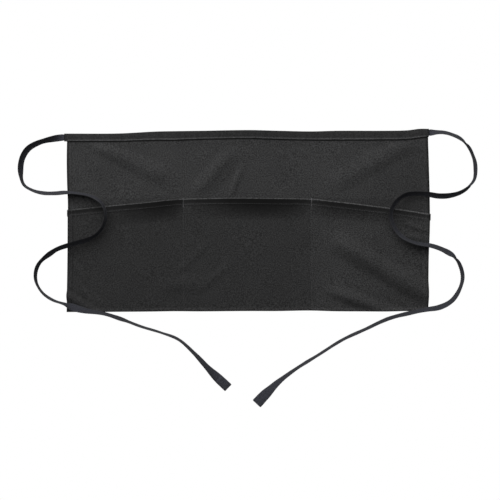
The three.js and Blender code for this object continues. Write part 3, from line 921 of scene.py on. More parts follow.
@dataclass
class ApronPanel(LaidCloth):
    """The back cloth, hemmed at its sides, its upper corners cut out for the tapes."""

    corner_step: float = 0.6
    upper_rows: tuple[float, ...] = (0.7, 1.4, 2.2, 3.2, 4.6, 6.2)
    # Painted light and shade: the shadow under the band, a shaded wedge above the side pockets' mouths, shade
    # beside the crease at the right, and light towards the right.
    groove_shade: float = 0.22
    groove_fade: tuple[float, float] = (0.8, 2.4)
    wedge_shade_tone: float = 0.84
    wedge_line: float = 41.5
    wedge_fade: float = 5.0
    wedge_from: tuple[float, float] = (100, 125)
    wedge_to: tuple[float, float] = (225, 290)
    right_shade: float = 0.82
    right_slope: tuple[float, float] = (0.5, 0.87)
    right_fade: tuple[float, float] = (2, 32)
    right_from: tuple[float, float] = (130, 230)
    right_light: float = 0.1
    light_from: tuple[float, float] = (60, 160)

    def rows(self, x: Array) -> Array:
        """The rows from the band's slot down to the bottom fold, for each column."""
        shape = SHAPE
        low, mouth = shape.band_edge(x), shape.mouth(x)
        notched = shape.width / 2 - np.abs(x) < shape.tie_tuck + shape.hem_fade / 2
        notch = np.where(x < 0, shape.tuck_top(-1), shape.tuck_top(1)) - shape.tuck_width - 2 * shape.gap
        top = np.where(notched, notch, shape.top_edge(x) - shape.band_wall - shape.gap)
        start = np.where(notched, np.minimum(notch - self.corner_step, low), low)
        rows = [top, mix(top, start, 0.5), start]
        rows += [np.minimum(start - d * 0.5, low - d) for d in self.upper_rows]
        rows += even(rows[-1], mouth, int((shape.length - shape.pocket_depth) / self.step))
        rows += even(mouth, shape.fold_start(x) + shape.gap, int(shape.pocket_depth / (1.5 * self.step)))
        return np.stack(rows, axis=1)

    def tone(self, x: Array, y: Array) -> Array:
        """Painted shade in the groove under the band, along the turned sides, in a wedge above the side pockets'
        mouths and beside the crease at the right, and painted light towards the right.
        """
        # Painted shadow under the band's lower edge.
        groove = dim(self.groove_shade, fade(SHAPE.band_edge(x) - y, *self.groove_fade))
        # Painted shade in the wedge above the side pockets' mouths.
        aside = ramp(np.abs(x), *self.wedge_from) * fade(np.abs(x), *self.wedge_to)
        wedge_shade = dim(self.wedge_shade_tone, aside * ramp(self.wedge_line - y, 0, self.wedge_fade))
        # Painted shade beside the crease at the right, and painted light towards the right.
        slope = self.right_slope[0] * x - self.right_slope[1] * y
        right = dim(self.right_shade, ramp(slope, *self.right_fade) * ramp(x, *self.right_from))
        lighter = 1 + self.right_light * ramp(x, *self.light_from)
        return self.side_tone(x, y) * groove * wedge_shade * right * lighter

    def build(self, material: Material) -> Object:
        """Builds the cloth.

        Args:
            material: Its finish.

        Returns:
            The piece, riding on the apron.
        """
        _, placed, y = self.lay()
        upper, lower = SHAPE.panel_face(placed, y), SHAPE.panel_underside(placed, y)
        upper, lower = plump(upper, lower, rounding(SHAPE.inward(placed, y), self.edge_round))
        faces = (np.stack([placed, y, face], axis=-1) for face in (upper, lower))
        piece = ClothMesh("panel_cloth", *faces, np.stack([placed, y], axis=-1), self.tone(placed, y)).make()
        dress(piece, material)
        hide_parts("apron_panel")
        return piece


# The band's front ply, from its lower edge up: a share of the height, and how far the face stands off there

BAND_FRONT = (
    (0.0, -0.45), (0.02, -0.12), (0.06, 0.06), (0.12, -0.02), (0.155, -0.16),
    (0.19, -0.02), (0.3, 0.14), (0.5, 0.18), (0.7, 0.12),
)
BAND_BACK = (0.7, 0.5, 0.3, 0.155, 0.06, 0.0)


@dataclass
class Waistband:
    """The strip folded over the panel's top edge. Shares are of its height, from the lower edge up."""

    step: float = 2.6
    front_height: float = 2.2
    face_pull: float = 0.1
    edge_pull: float = 0.15
    fold_steps: int = 6
    inner_share: float = 0.68
    # Painted light and shade: shade at the top fold, at the ends and along the lower lip, and a highlight along
    # the stitch line; face_shade darkens the whole face, less so towards the ends; unevenness is uneven dye.
    edge_shade: float = 0.35
    edge_ramp: tuple[float, float] = (0.84, 0.98)
    end_shade: float = 0.35
    end_fade: tuple[float, float] = (3.2, 6.5)
    face_shade: float = 0.52
    end_light: float = 0.14
    light_from: tuple[float, float] = (60, 150)
    unevenness: float = 0.16
    stitch_highlight_gain: float = 2.4
    stitch_share: float = 0.14
    stitch_spread: float = 0.06
    lip_shade: float = 0.3
    lip_share: float = 0.05

    def profile(self) -> list[tuple[float, float, float, float]]:
        """The section from the front ply's lower edge over the top fold to the back ply's lower edge.

        Returns:
            Rows of the share of the height, the height over the floor, and the same two for the inside.
        """
        thick, wall = SHAPE.band_thickness, SHAPE.band_wall
        rows = [(share, thick + rise, min(share, self.inner_share), thick - wall) for share, rise in BAND_FRONT]
        for k in range(self.fold_steps + 1):
            turn = math.pi * k / self.fold_steps
            out = (0.86 + 0.14 * math.sin(turn), thick / 2 * (1 + math.cos(turn)))
            into = (0.84 + 0.07 * math.sin(turn), thick / 2 + (thick / 2 - wall) * math.cos(turn))
            rows.append((*out, *into))
        return rows + [(share, 0.0, share, wall) for share in BAND_BACK]

    def tone(self, x: Array, share: Array) -> Array:
        """Painted shade at the top fold and the ends, a painted shadow along the lower lip, a painted highlight
        along the stitches, the whole face darker and less so towards the ends, and uneven dye.
        """
        inward = np.minimum(x - SHAPE.band_end(-1), SHAPE.band_end(1) - x)[:, None]
        # Painted shade at the top fold and at the ends.
        edge = dim(self.edge_shade, ramp(share, *self.edge_ramp))
        edge = edge * dim(self.end_shade, fade(inward, *self.end_fade))
        # Painted highlight along the stitches, and painted shadow along the lower lip.
        stitch_highlight = 1 + self.stitch_highlight_gain * np.exp(-(((share - self.stitch_share) / self.stitch_spread) ** 2))
        lip = np.where(share < self.lip_share, self.lip_shade, 1.0)
        # The whole face darker, less so towards the ends; then uneven dye.
        face = self.face_shade + self.end_light * ramp(np.abs(x), *self.light_from)[:, None]
        uneven = (1 + self.unevenness * waves(x, (9.7, 16.3, 37.0), Draw.BAND_TONE))[:, None]
        return edge * stitch_highlight * lip * face * uneven

    def build(self, material: Material) -> Object:
        """Builds the band.

        Args:
            material: Its finish.

        Returns:
            The piece, riding on the apron.
        """
        shape = SHAPE
        x = mix(shape.band_end(-1), shape.band_end(1), shape.across(shape.columns(self.step)))
        low, top = shape.band_edge(x), shape.top_edge(x)
        rows = np.array(self.profile())
        front = np.where(rows[:, 1] > self.front_height, 1.0, 0.0)
        wave = self.face_pull * waves(x, (8.3, 12.1, 19.7), Draw.BAND_FACE)[:, None] * front
        sway = self.edge_pull * waves(x, (23.0, 41.0), Draw.BAND_EDGE)[:, None] * (rows[:, 0] < 0.1)

        def face(share: Array, height: Array) -> Array:
            """Points of the section along the band."""
            y = mix(low[:, None], top[:, None], share[None]) + sway
            return np.stack(np.broadcast_arrays(x[:, None], y, height), axis=-1)

        upper, lower = face(rows[:, 0], rows[:, 1] + wave), face(rows[:, 2], rows[:, 3])
        steps = np.hypot(np.diff(rows[:, 0]) * shape.band_height, np.diff(rows[:, 1]))
        run = np.concatenate([[0.0], np.cumsum(steps)])
        cloth = np.stack(np.broadcast_arrays(x[:, None], run[None]), axis=-1)
        tone = self.tone(x, np.broadcast_to(rows[:, 0], upper.shape[:2]))
        piece = ClothMesh("waistband_cloth", upper, lower, cloth, tone).make()
        dress(piece, material)
        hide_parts("waistband")
        return piece


@dataclass
class PocketPanel(LaidCloth):
    """The cloth turned up at the bottom fold, open along its mouth and held at its sides and dividers."""

    # Painted light and shade: shade along the sides and at the bottom fold, a highlight on the mouth's folded
    # edge, shade on the hem's face, light towards the right pocket, shade on the left one, and the shadow below
    # the raised mouths.
    edge_shade: float = 0.35
    edge_fade: tuple[float, float] = (1.5, 3.2)
    fold_steps: int = 8
    mouth_round: float = 0.95
    upper_rows: tuple[float, ...] = (
        0, 0.12, 0.35, 0.65, 1.0, 1.6, 2.6, 4.2, 6.0, 7.6, 8.6, 9.3, 10.0, 11.2, 12.3,
    )
    fold_fade: tuple[float, float] = (0.2, 1.4)
    fold_light: float = 0.5
    mouth_highlight_gain: float = 2.9
    mouth_highlight_fade: tuple[float, float] = (0.9, 1.7)
    hem_shade: float = 0.27
    hem_ramp: tuple[float, float] = (1.2, 2.2)
    hem_fade: tuple[float, float] = (6.0, 8.2)
    right_light: float = 1.37
    left_shade: float = 0.92
    left_fade: tuple[float, float] = (-114, -107)
    mouth_shade: float = 0.1
    right_calm: float = 0.3
    calm_from: tuple[float, float] = (90, 120)

    def rows(self, x: Array) -> Array:
        """The rows from the mouth down to just inside the bottom fold, for each column."""
        mouth = SHAPE.mouth(x)
        rows = [mouth - d for d in self.upper_rows]
        rows += even(rows[-1], SHAPE.fold_start(x), int((SHAPE.pocket_depth - 13) / self.step))
        return np.stack(rows, axis=1)

    def tone(self, x: Array, y: Array) -> Array:
        """Painted light and shade: a painted highlight on the mouth's folded edge, painted shade on the hem's
        face, the sides and the bottom fold, a painted shadow below the raised mouths, painted light towards the
        right pocket and painted shade on the left one, and a lighter strip just above the bottom fold.
        """
        below, above = SHAPE.mouth(x) - y, y - SHAPE.bottom_fold(x)
        calm = ramp(x, *self.calm_from)
        # Painted shade at the bottom fold, and a lighter strip just above it.
        fold = dim(self.edge_shade, fade(above, *self.fold_fade))
        fold = fold + self.fold_light * ramp(above, 1.6, 3) * fade(above, 4, 7)
        # Painted highlight on the mouth's folded edge, and painted shade on the hem's face.
        mouth_highlight = 1 + (self.mouth_highlight_gain - 1) * fade(below, *self.mouth_highlight_fade)
        on_hem = ramp(below, *self.hem_ramp) * fade(below, *self.hem_fade)
        hem = dim(self.hem_shade + 0.4 * self.right_calm * calm, on_hem)
        # Painted light towards the right pocket, and painted shade on the left one.
        sides = 1 + (self.right_light - 1) * (0.6 * ramp(x, 103, 109) + 0.4 * ramp(x, 60, 160))
        sides = sides - (1 - self.left_shade) * fade(x, *self.left_fade)
        # Painted shadow below the raised mouths, weaker on the right pocket.
        opened, depth = SHAPE.mouth_place(x, y)
        shadow = opened * (1 - self.right_calm * calm) * (1 - depth**2)
        turned = dim(self.mouth_shade, shadow * ramp(below, 1.0, 1.8))
        return self.side_tone(x, y) * fold * mouth_highlight * hem * sides * turned

    def build(self, material: Material) -> Object:
        """Builds the cloth.

        Args:
            material: Its finish.

        Returns:
            The piece, riding on the apron.
        """
        shape = SHAPE
        x, placed, y = self.lay()
        below = shape.mouth(x)[:, None] - y
        at_end = fade(below, shape.mouth_hem, shape.mouth_hem + shape.hem_fade)
        at_end = at_end * fade(shape.width / 2 - np.abs(x)[:, None], 0, shape.side_hem)
        upper, lower = shape.pocket_face(placed, y), shape.pocket_underside(placed, y)
        share = rounding(shape.inward(placed, y), self.edge_round) * rounding(below, self.mouth_round)
        upper, lower = plump(upper, lower, share)
        shifted = placed + np.sign(x)[:, None] * shape.corner_bulge * at_end
        fold_line = y[:, -1:]
        floor = shape.panel_underside(placed[:, -1:], fold_line)
        half = (upper[:, -1:] - floor) / 2
        turns = np.arange(1, self.fold_steps + 1)
        angle = math.pi * turns / self.fold_steps
        roll = fold_line - (shape.wall + shape.gap / 2) * np.sin(angle)
        inside = np.repeat(fold_line, self.fold_steps, axis=1)
        all_x = np.concatenate([shifted, np.repeat(shifted[:, -1:], self.fold_steps, axis=1)], axis=1)
        all_y, inner_y = np.concatenate([y, roll], axis=1), np.concatenate([y, inside], axis=1)
        upper = np.concatenate([upper, floor + half * (1 + np.cos(angle))], axis=1)
        lower = np.concatenate([lower, mix(lower[:, -1:], floor, turns / (self.fold_steps + 1))], axis=1)
        piece = ClothMesh(
            "pocket_cloth",
            np.stack([all_x, all_y, upper], axis=-1),
            np.stack([all_x, inner_y, lower], axis=-1),
            np.stack([all_x, all_y], axis=-1),
            self.tone(all_x, all_y),
        ).make()
        dress(piece, material)
        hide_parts("pocket_panel")
        return piece


# The tapes

LEFT_ROUTE = (
    (0, 0), (-31, -5), (-46, -10), (-61, -19), (-70, -32), (-74, -48), (-73, -65), (-67, -81),
    (-53, -90), (-35, -95), (-15, -96), (6, -95), (28, -97), (46, -101), (60, -109), (68, -121),
    (70, -135), (66, -150), (56, -163), (41, -172), (24, -177), (6, -182), (-13, -189), (-30, -200),
    (-43, -214), (-48, -230), (-46, -247), (-35, -264), (-18, -275), (2, -281), (21, -288), (46, -294),
    (70, -298), (100, -308), (129, -319), (162, -329), (193, -341), (219, -364), (246, -393), (277, -423),
)
RIGHT_ROUTE = (
    (0, 0), (26, -1), (39, -5), (51, -11), (62, -22), (75, -46), (77, -62), (74, -79),
    (65, -91), (52, -100), (35, -105), (16, -106), (-4, -103), (-24, -102), (-42, -105), (-56, -115),
    (-64, -127), (-67, -141), (-63, -156), (-53, -171), (-40, -181), (-22, -188), (2, -192), (22, -199),
    (40, -210), (51, -227), (55, -246), (49, -267), (36, -284), (17, -293), (-6, -297), (-37, -304),
    (-67, -312), (-105, -330), (-146, -349), (-186, -374), (-226, -399), (-254, -420),
    (-275, -441), (-291, -458),
)
POSTURE = ("along", "lean", "fold")
LEFT_POSTURE = Table(
    POSTURE,
    (
        (0.0, 0, 0), (0.012, -34, 10), (0.022, -54, 16), (0.04, -66, 20), (0.06, -62, 20), (0.085, -64, 30),
        (0.12, -65, 30), (0.14, -80, 10), (0.165, -76, 10), (0.2, -66, 20), (0.23, -62, 34), (0.26, -74, 30),
        (0.3, -74, 30), (0.35, -77, 24), (0.38, -75, 20), (0.41, -64, 20), (0.44, -63, 20), (0.47, -68, 20),
        (0.485, -64, 30), (0.505, -75, 16), (0.54, -78, 10), (0.56, -87, 16), (0.58, -84, 16), (0.6, -80, 16),
        (0.628, -77, 12), (0.642, -46, 8), (0.652, -46, 8), (0.672, -60, 10), (0.692, -72, 16), (0.74, -71, 12),
        (0.76, -79, 10), (0.82, -81, 6), (0.87, -79, 6), (0.9, -74, 8), (0.92, -66, 8), (0.95, -52, 6),
        (0.975, -20, 0), (1.0, -4, 0),
    ),
)
RIGHT_POSTURE = Table(
    POSTURE,
    (
        (0.0, 0, 0), (0.008, -40, 8), (0.018, -58, 12), (0.03, -61, 12), (0.058, -61, 30), (0.078, -90, 56),
        (0.1, -98, 16), (0.12, -103, 12), (0.14, -96, 40), (0.155, -82, 66), (0.17, -68, 40), (0.21, -57, 34),
        (0.26, -66, 30), (0.29, -64, 30), (0.32, -59, 26), (0.35, -56, 26), (0.38, -61, 20), (0.41, -67, 20),
        (0.46, -57, 30), (0.48, -53, 44), (0.492, -80, 72), (0.505, -101, 44), (0.55, -102, 12),
        (0.58, -112, 20), (0.61, -118, 30), (0.64, -112, 20), (0.7, -107, 10), (0.78, -102, 6),
        (0.88, -102, 6), (0.93, -113, 8), (0.96, -140, 6), (0.98, -172, 0), (1.0, -180, 0),
    ),
)

# The tape's section: where its points lie across it, as shares of its width

TAPE_HALF = (0.14, 0.28, 0.38, 0.44, 0.47, 0.49, 0.5)
TAPE_ACROSS = np.array([*(-share for share in reversed(TAPE_HALF)), 0, *TAPE_HALF])
TAPE_MIDDLE = len(TAPE_HALF)


@dataclass
class Tie:
    """A flat tape sewn into the band's end, leaning on its edge and creased as it lies, its tip hemmed."""

    name: str
    node: str
    side: int
    route: tuple[tuple[int, int], ...]
    posture: Table
    tip_width: float
    width: float = 16.0
    flat_run: float = 2.0
    tip_hem: float = 22.0
    laying: float = 26.0
    step: float = 2.5
    knot_steps: int = 24
    look: float = 2.0
    seam_in: float = 0.38
    fold_reach: float = 0.22
    sway: float = 2.2
    hem_climb: float = 1.2
    tip_round: float = 1.6
    spread: int = 6
    softness: int = 4
    # Painted shade along the tape's edges, and painted light where its face looks up.
    edge_shade: float = 0.65
    edge_ramp: tuple[float, float] = (5.8, 7.6)
    up_facing_painted_light: float = 0.9

    def line(self) -> tuple[Array, Array]:
        """The tape's middle line in the plane, from inside the band to its tip.

        Returns:
            Points close together, and each one's distance along the line.
        """
        shape = SHAPE
        start = np.array([shape.band_end(self.side), shape.tuck_top(self.side) - shape.tuck_width / 2])
        tucked = start - np.array([self.side * shape.tie_tuck, 0])
        knots = [tucked, *(start + np.array(p, float) for p in self.route)]
        knots = [2 * knots[0] - knots[1], *knots, 2 * knots[-1] - knots[-2]]
        points = []
        t = np.linspace(0, 1, self.knot_steps, endpoint=False)[:, None]
        for p0, p1, p2, p3 in zip(knots, knots[1:], knots[2:], knots[3:]):
            d0, d1, d2 = (math.sqrt(math.dist(a, b)) for a, b in ((p0, p1), (p1, p2), (p2, p3)))
            m1 = ((p1 - p0) / d0 - (p2 - p0) / (d0 + d1) + (p2 - p1) / d1) * d1
            m2 = ((p2 - p1) / d1 - (p3 - p1) / (d1 + d2) + (p3 - p2) / d2) * d1
            bend = -3 * p1 + 3 * p2 - 2 * m1 - m2
            points.append(p1 + t * (m1 + t * (bend + t * (2 * p1 - 2 * p2 + m1 + m2))))
        points = np.concatenate([*points, knots[-2][None]])
        reach = np.concatenate([[0.0], np.cumsum(np.linalg.norm(np.diff(points, axis=0), axis=1))])
        return points, reach

    def stations(self, distances: Array) -> tuple[Array, Array]:
        """Points of the middle line and the direction to their left, at some distances."""
        points, reach = self.line()

        def at(where: Array) -> Array:
            """The line's points at some distances."""
            return np.stack([np.interp(where, reach, points[:, axis]) for axis in (0, 1)], axis=1)

        heading = at(np.minimum(distances + self.look, reach[-1])) - at(np.maximum(distances - self.look, 0))
        heading /= np.linalg.norm(heading, axis=1, keepdims=True)
        return at(distances), np.stack([-heading[:, 1], heading[:, 0]], axis=1)

    def heights(self, distances: Array, length: float) -> Array:
        """How high the tape's lowest edge lies: over the highest thing near it, its climbs smoothed.

        Args:
            distances: Where it is asked, along the line.
            length: The line's whole length.

        Returns:
            Heights over the floor.
        """
        spacing = self.laying / 8
        places = np.minimum(np.arange(math.ceil(length / spacing) + 1) * spacing, length)
        point, left = self.stations(places)
        under = np.zeros(len(places))
        for share in (-1, -0.5, 0, 0.5, 1):
            spot = point + left * share * self.width / 2
            under = np.maximum(under, SHAPE.cloth_top(spot[:, 0], spot[:, 1]))
        under[places < SHAPE.tie_tuck + 2 * self.laying] = 0.0
        spread = np.pad(under, self.spread, mode="edge")
        shifts = range(-self.spread, self.spread + 1)
        highest = np.max([np.roll(spread, k)[self.spread : -self.spread] for k in shifts], axis=0)
        window = 2 * self.softness + 1
        eased = np.convolve(np.pad(highest, self.softness, mode="edge"), np.ones(window) / window, mode="valid")
        free = SHAPE.tie_tuck + self.flat_run
        leaving = SHAPE.slot_floor * (1 - ramp(distances, free, free + self.laying))
        return np.maximum(np.interp(distances, places, eased), leaving)

    def sections(self) -> tuple[Array, Array, Array, Array, Array]:
        """Works out the tape's sections.

        Returns:
            The visible face's points, the other face's, the face normals, the middle points, and the distances.
        """
        shape = SHAPE
        length = float(self.line()[1][-1])
        free, hem = shape.tie_tuck + self.flat_run, length - self.tip_hem
        count = int((hem - free) / self.step)
        run = free + (hem - free) * np.arange(count + 1) / count
        tip = [hem + 0.5, hem + 1.2, *np.linspace(hem + 3, length - 1.6, 9), length - 0.8, length - 0.3, length]
        distances = np.concatenate([[0.0, 4.0, 8.0, shape.tie_tuck], run, tip])
        along = np.clip((distances - free) / (length - free), 0, 1)
        lean = np.radians(self.posture.read("lean", along))
        sway = np.radians(self.sway) * waves(distances, (31.0, 47.0, 83.0), Draw.TAPE_SWAY + self.side)
        lean = lean + sway * ramp(distances, free, free + 40)
        half_fold = np.radians(self.posture.read("fold", along)) / 2
        pinched = mix(shape.tuck_width, shape.exit_width, ramp(distances, shape.tie_tuck, free))
        width = mix(pinched, self.width, ramp(distances, free, free + self.laying))
        width = mix(width, self.tip_width, ramp(distances, hem - self.tip_hem, length))
        rounded = rounding(length - distances, self.tip_round)
        width = width * mix(0.9, 1.0, np.clip((length - distances) / self.tip_round, 0, 1) ** 0.5)
        wall = shape.tie_wall * (1 + ramp(distances, hem, hem + self.hem_climb)) * mix(0.45, 1.0, rounded)
        turn = lean[:, None] + half_fold[:, None] * np.clip(TAPE_ACROSS / self.fold_reach, -1, 1)[None]
        step = np.diff(TAPE_ACROSS)[None] * width[:, None]
        middle_turn = (turn[:, 1:] + turn[:, :-1]) / 2

        def offsets(part: Array) -> Array:
            """How far the section's points lie from its middle one, in one direction."""
            total = np.cumsum(part * step, axis=1)
            return np.pad(total, ((0, 0), (1, 0))) - total[:, [TAPE_MIDDLE - 1]]

        aside, rise = offsets(np.cos(middle_turn)), offsets(np.sin(middle_turn))
        bulge = np.maximum(np.sqrt(np.clip(1 - np.abs(2 * TAPE_ACROSS) ** 7, 0, 1)), 0.15)
        thick = wall[:, None] / 2 * bulge[None]
        point, left = self.stations(distances)

        def face(sign: float) -> tuple[Array, Array]:
            """One face's offsets to the left and up."""
            return aside - sign * np.sin(turn) * thick, rise + sign * np.cos(turn) * thick

        (up_aside, up_rise), (low_aside, low_rise) = face(1), face(-1)
        lowest = np.minimum(up_rise.min(axis=1), low_rise.min(axis=1))
        base = (self.heights(distances, length) - lowest)[:, None]

        def place(offset: Array, height: Array) -> Array:
            """Points in space from offsets to the left and up."""
            flat = point[:, None] + left[:, None] * offset[..., None]
            return np.concatenate([flat, (base + height)[..., None]], axis=-1)

        upper, lower = place(up_aside, up_rise), place(low_aside, low_rise)
        normal = upper - lower
        normal /= np.maximum(np.linalg.norm(normal, axis=-1, keepdims=True), 1e-9)
        return upper, lower, normal, (upper.mean(axis=1) + lower.mean(axis=1)) / 2, distances

    def build(self, material: Material) -> Object:
        """Builds the tape.

        Args:
            material: Its finish.

        Returns:
            The piece, riding on the apron.
        """
        upper, lower, normal, middle, distances = self.sections()
        across = np.linspace(-self.width / 2, self.width / 2, upper.shape[1])
        cloth = np.stack(np.broadcast_arrays(distances[:, None], across[None]), axis=-1)
        # Painted shade along the edges, and painted light where the face looks up.
        edge = ramp(np.abs(across)[None], *self.edge_ramp)
        tone = (1 - self.edge_shade * edge) * (1 + self.up_facing_painted_light * normal[..., 2] ** 2)
        piece = ClothMesh(self.name, upper, lower, cloth, tone).make()
        dress(piece, material)
        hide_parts(self.node)
        path = in_frame(middle)
        return piece

    def seams(self) -> list[Seam]:
        """The stitching along the tape's open edge and round its hemmed tip, on both faces."""
        upper, lower, normal, _, distances = self.sections()
        length = distances[-1]

        def both(where: object, column: object, **sizes: float) -> list[Seam]:
            """A line of stitches on each of the tape's faces."""
            faces = ((upper, normal), (lower, -normal))
            return [Seam(face[where, column], up[where, column], **sizes) for face, up in faces]

        run = (distances > SHAPE.tie_tuck + 1) & (distances < length - self.tip_hem)
        made = both(run, int(np.argmin(np.abs(TAPE_ACROSS - self.seam_in))), pitch=3.4, stitch=2.7)
        for back in (self.tip_hem - 2.5, 3.5):
            k = int(np.argmin(np.abs(distances - (length - back))))
            made += both(k, slice(2, -2), pitch=2.6, stitch=2.2)
        return made


# Seams on the cloth


UP, DOWN = np.array([0.0, 0.0, 1.0]), np.array([0.0, 0.0, -1.0])
Surface = Callable[[Array, Array], Array]


def seam_at(x: Array, y: Array, height: Array, normal: Array, **sizes: float) -> Seam:
    """A seam through some points, of which x, y or the height may be one number for them all."""
    return Seam(np.stack(np.broadcast_arrays(x, y, height), axis=1), normal, **sizes)


def seam_on(surface: Surface, x: Array, y: Array, step: float = 0.6) -> Seam:
    """A seam that lies on a surface.

    Args:
        surface: The surface's height over each point.
        x: The points' places across.
        y: The points' places along.
        step: How far out the surface's slope is felt.

    Returns:
        The seam.
    """
    slope_x = (surface(x + step, y) - surface(x - step, y)) / (2 * step)
    slope_y = (surface(x, y + step) - surface(x, y - step)) / (2 * step)
    normal = np.stack([-slope_x, -slope_y, np.ones_like(slope_x)], axis=1)
    return seam_at(x, y, surface(x, y), normal / np.linalg.norm(normal, axis=1, keepdims=True))


def seam_under(x: Array, y: Array) -> Seam:
    """A seam on the back of the apron."""
    return seam_at(x, y, SHAPE.panel_underside(x, y), DOWN)


@dataclass
class Seams:
    """Where the apron is sewn: band, hems, dividers and bar tacks; the band, the side hems and the dividers on
    their backs as well.
    """

    sunk: float = 0.12
    back_height: float = 0.1
    end_insets: tuple[float, ...] = (2.2, 4.6)
    end_stitch: float = 1.7
    tack_length: float = 13.5
    tack_over: float = 1.5
    tack_step: float = 0.62
    tack_half: float = 1.3
    tack_edge: float = 0.8

    def band(self) -> list[Seam]:
        """The line above the band's lower edge, through to the back."""
        x = np.linspace(SHAPE.band_end(-1) + 1.5, SHAPE.band_end(1) - 1.5, 300)
        y = SHAPE.band_edge(x) + SHAPE.band_seam
        thick, back, pitch = SHAPE.band_thickness, (self.back_height, DOWN), self.end_stitch
        made = [seam_at(x, y, height, normal) for height, normal in ((thick - self.sunk, UP), back)]
        for side in (-1, 1):
            for inset in self.end_insets:
                place = SHAPE.band_end(side) - side * inset
                low, top = float(SHAPE.band_edge(place)), float(SHAPE.top_edge(place))
                y = np.linspace(low + 1.5, top - 1.6, 12)
                for height, normal in ((thick + 0.05, UP), back):
                    made.append(seam_at(place, y, height, normal, pitch=pitch, stitch=pitch))
        return made

    def mouth(self) -> list[Seam]:
        """The line along the mouth's hem."""
        x = np.linspace(-SHAPE.width / 2 + 3, SHAPE.width / 2 - 3, 400)
        return [seam_on(SHAPE.pocket_face, x, SHAPE.mouth(x) - SHAPE.mouth_seam)]

    def sides(self) -> list[Seam]:
        """The line along each side's hem, on the face and on the back."""
        made = []
        for edge, sign in ((SHAPE.left_edge, 1), (SHAPE.right_edge, -1)):
            lines = (SHAPE.band_edge, SHAPE.mouth, SHAPE.bottom_fold)
            band, mouth, fold = (float(line(-sign * SHAPE.width / 2)) for line in lines)

            def hem(start: float, end: float, count: int) -> tuple[Array, Array]:
                """Points down the hem's inner edge."""
                y = np.linspace(start, end, count)
                return edge(y) + sign * SHAPE.side_hem, y

            made.append(seam_on(SHAPE.panel_face, *hem(band - 1, mouth + 1, 60)))
            made.append(seam_on(SHAPE.pocket_face, *hem(mouth - 1, fold + 2, 100)))
            made.append(seam_under(*hem(band - 1, fold + 4, 160)))
        return made

    def dividers(self) -> list[Seam]:
        """The line between two pockets, on the face and on the back."""
        made = []
        for wall in SHAPE.dividers:
            y = np.linspace(float(SHAPE.mouth(wall)) - 1, float(SHAPE.bottom_fold(wall)) + 2, 100)
            x = np.full(len(y), wall)
            made += [seam_on(SHAPE.pocket_face, x, y), seam_under(x, y)]
        return made

    def tacks(self) -> list[Seam]:
        """The bar tack at the top of each divider: close cross stitches over the mouth's hem."""
        made = []
        for wall in SHAPE.dividers:
            top = float(SHAPE.mouth(wall))
            x = np.linspace(wall - self.tack_half, wall + self.tack_half, 3)
            for y in np.arange(top - self.tack_length, top + self.tack_over, self.tack_step):
                height = SHAPE.pocket_face(x, np.full(3, min(y, top - self.tack_edge)))
                height = height + 0.1 - max(0.0, y - top + self.tack_edge) * 0.5
                made.append(seam_at(x, y, height, UP, pitch=2.6, stitch=2.4))
        return made


# The studio


@dataclass(frozen=True)
class Softbox:
    """A square soft light that faces the apron."""

    name: str
    place: tuple[float, float, float]
    size: float
    power: float

    def light(self) -> Object:
        """Sets the light up."""
        data = bpy.data.lights.new(self.name, "AREA")
        data.shape, data.size, data.energy = "SQUARE", self.size, self.power
        lamp = bpy.data.objects.new(self.name, data)
        lamp.location = self.place
        lamp.rotation_euler = (-Vector(self.place)).to_track_quat("-Z", "Y").to_euler()
        bpy.context.scene.collection.objects.link(lamp)
        return lamp


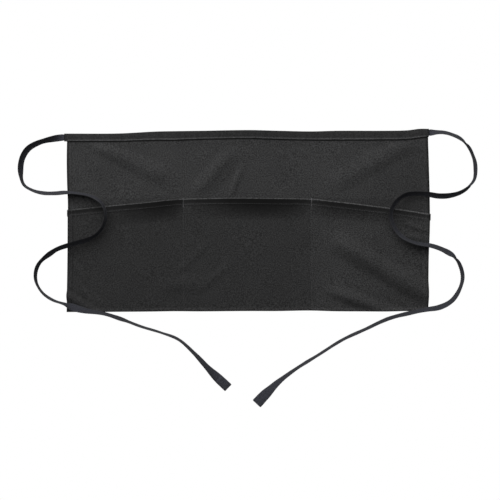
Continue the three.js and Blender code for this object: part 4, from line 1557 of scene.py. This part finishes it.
@dataclass
class Studio:
    """The camera straight above, a white floor and soft light from the upper left."""

    centre: tuple[float, float] = (0.0044, -0.05)
    across: float = 0.845
    lens: float = 85.0
    sensor: float = 36.0
    dome: float = 0.15
    floor_size: float = 12.0
    floor_drop: float = 0.0004
    floor_tone: float = 0.4
    lights: tuple[Softbox, ...] = (Softbox("key_light", (-0.95, 1.85, 2.05), 3.6, 127.0),)

    def set_camera(self) -> Object:
        """Puts the camera straight above the apron, as high as its lens needs to take it all in."""
        data = bpy.data.cameras.new("camera")
        data.lens, data.sensor_width, data.clip_end = self.lens, self.sensor, 50.0
        camera = bpy.data.objects.new("camera", data)
        camera.location = (*self.centre, self.across * self.lens / self.sensor)
        bpy.context.scene.collection.objects.link(camera)
        bpy.context.scene.camera = camera
        return camera

    def lay_floor(self) -> Object:
        """Lays the white floor."""
        bpy.ops.object.select_all(action="DESELECT")
        bpy.ops.mesh.primitive_plane_add(size=self.floor_size, location=(0, 0, -self.floor_drop))
        floor = bpy.context.object
        floor.name = "floor"
        made = bpy.data.materials.new("white_floor")
        made.use_nodes = True
        shader = made.node_tree.nodes["Principled BSDF"]
        shader.inputs["Roughness"].default_value = 0.9
        shader.inputs["Specular IOR Level"].default_value = 0.0
        shader.inputs["Emission Color"].default_value = (1, 1, 1, 1)
        camera_ray = add_node(made.node_tree, "ShaderNodeLightPath").outputs["Is Camera Ray"]
        made.node_tree.links.new(camera_ray, shader.inputs["Emission Strength"])
        bounce = maths(made.node_tree, "MULTIPLY_ADD", camera_ray, -self.floor_tone, self.floor_tone)
        made.node_tree.links.new(bounce, shader.inputs["Base Color"])
        floor.data.materials.append(made)
        return floor

    def light(self) -> None:
        """Sets up the dome and the softboxes."""
        world = bpy.data.worlds.new("studio")
        bpy.context.scene.world = world
        world.use_nodes = True
        tree = world.node_tree
        sky = tree.nodes["Background"]
        sky.inputs["Color"].default_value = (1, 1, 1, 1)
        camera_ray = add_node(tree, "ShaderNodeLightPath").outputs["Is Camera Ray"]
        power = maths(tree, "MULTIPLY_ADD", camera_ray, 1.0 - self.dome, self.dome)
        tree.links.new(power, sky.inputs["Strength"])
        for lamp in self.lights:
            lamp.light()
        settings = bpy.context.scene.view_settings
        settings.view_transform, settings.look = "Standard", "None"
        settings.exposure, settings.gamma = 0.0, 1.0


@dataclass
class Apron:
    """The whole apron."""

    twill: ClothFinish = ClothFinish("black_twill", (0.031, 0.031, 0.0315), Weave.PANEL_TWILL)
    # The pockets' twill is the panel's twill made darker: painted shade over the pockets.
    shaded_pocket_twill: ClothFinish = ClothFinish(
        "black_twill_pocket_shaded", (0.0212, 0.0212, 0.0215), Weave.PANEL_TWILL, mottle=4.4
    )
    tape: ClothFinish = ClothFinish(
        "black_tape", (0.0215, 0.0222, 0.0278), Weave.TAPE_TWILL, roughness=0.85, specular=0.12, mottle=1.6
    )
    thread: ThreadFinish = ThreadFinish()
    dark_thread: ThreadFinish = ThreadFinish("dark_sewing_thread", (0.028, 0.028, 0.03))
    tack_thread: ThreadFinish = ThreadFinish("tack_thread", (0.13, 0.13, 0.135))

    def build(self) -> None:
        """Builds the tapes first, then the cloth and its sewing."""
        groups = {"twill_weave": twill_group(), "dye_and_lint": wear_group()}
        tape, thread = self.tape.material(groups), self.thread.material(groups)
        dark_thread = self.dark_thread.material(groups)
        ties = (
            Tie("left_tape", "tie_left", -1, LEFT_ROUTE, LEFT_POSTURE, 16.0),
            Tie("right_tape", "tie_right", 1, RIGHT_ROUTE, RIGHT_POSTURE, 18.2),
        )
        for tie in ties:
            tie.build(tape)
        twill = self.twill.material(groups)
        ApronPanel().build(twill)
        Waistband().build(twill)
        PocketPanel().build(self.shaded_pocket_twill.material(groups))
        needle, seams = Needlework(), Seams()
        needle.sew("band_stitching", seams.band(), thread)
        needle.sew("mouth_stitching", seams.mouth(), thread)
        needle.sew("side_stitching", seams.sides(), dark_thread)
        needle.sew("divider_stitching", seams.dividers(), dark_thread)
        needle.sew("bar_tacks", seams.tacks(), self.tack_thread.material(groups))
        for tie in ties:
            needle.sew(f"{tie.name}_stitching", tie.seams(), dark_thread)


def main() -> None:
    """Builds the scene."""
    logging.basicConfig(level=logging.INFO, format="%(message)s")
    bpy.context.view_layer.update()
    studio = Studio()
    studio.set_camera()
    Apron().build()
    studio.lay_floor()
    studio.light()


if __name__ == "__main__":
    main()
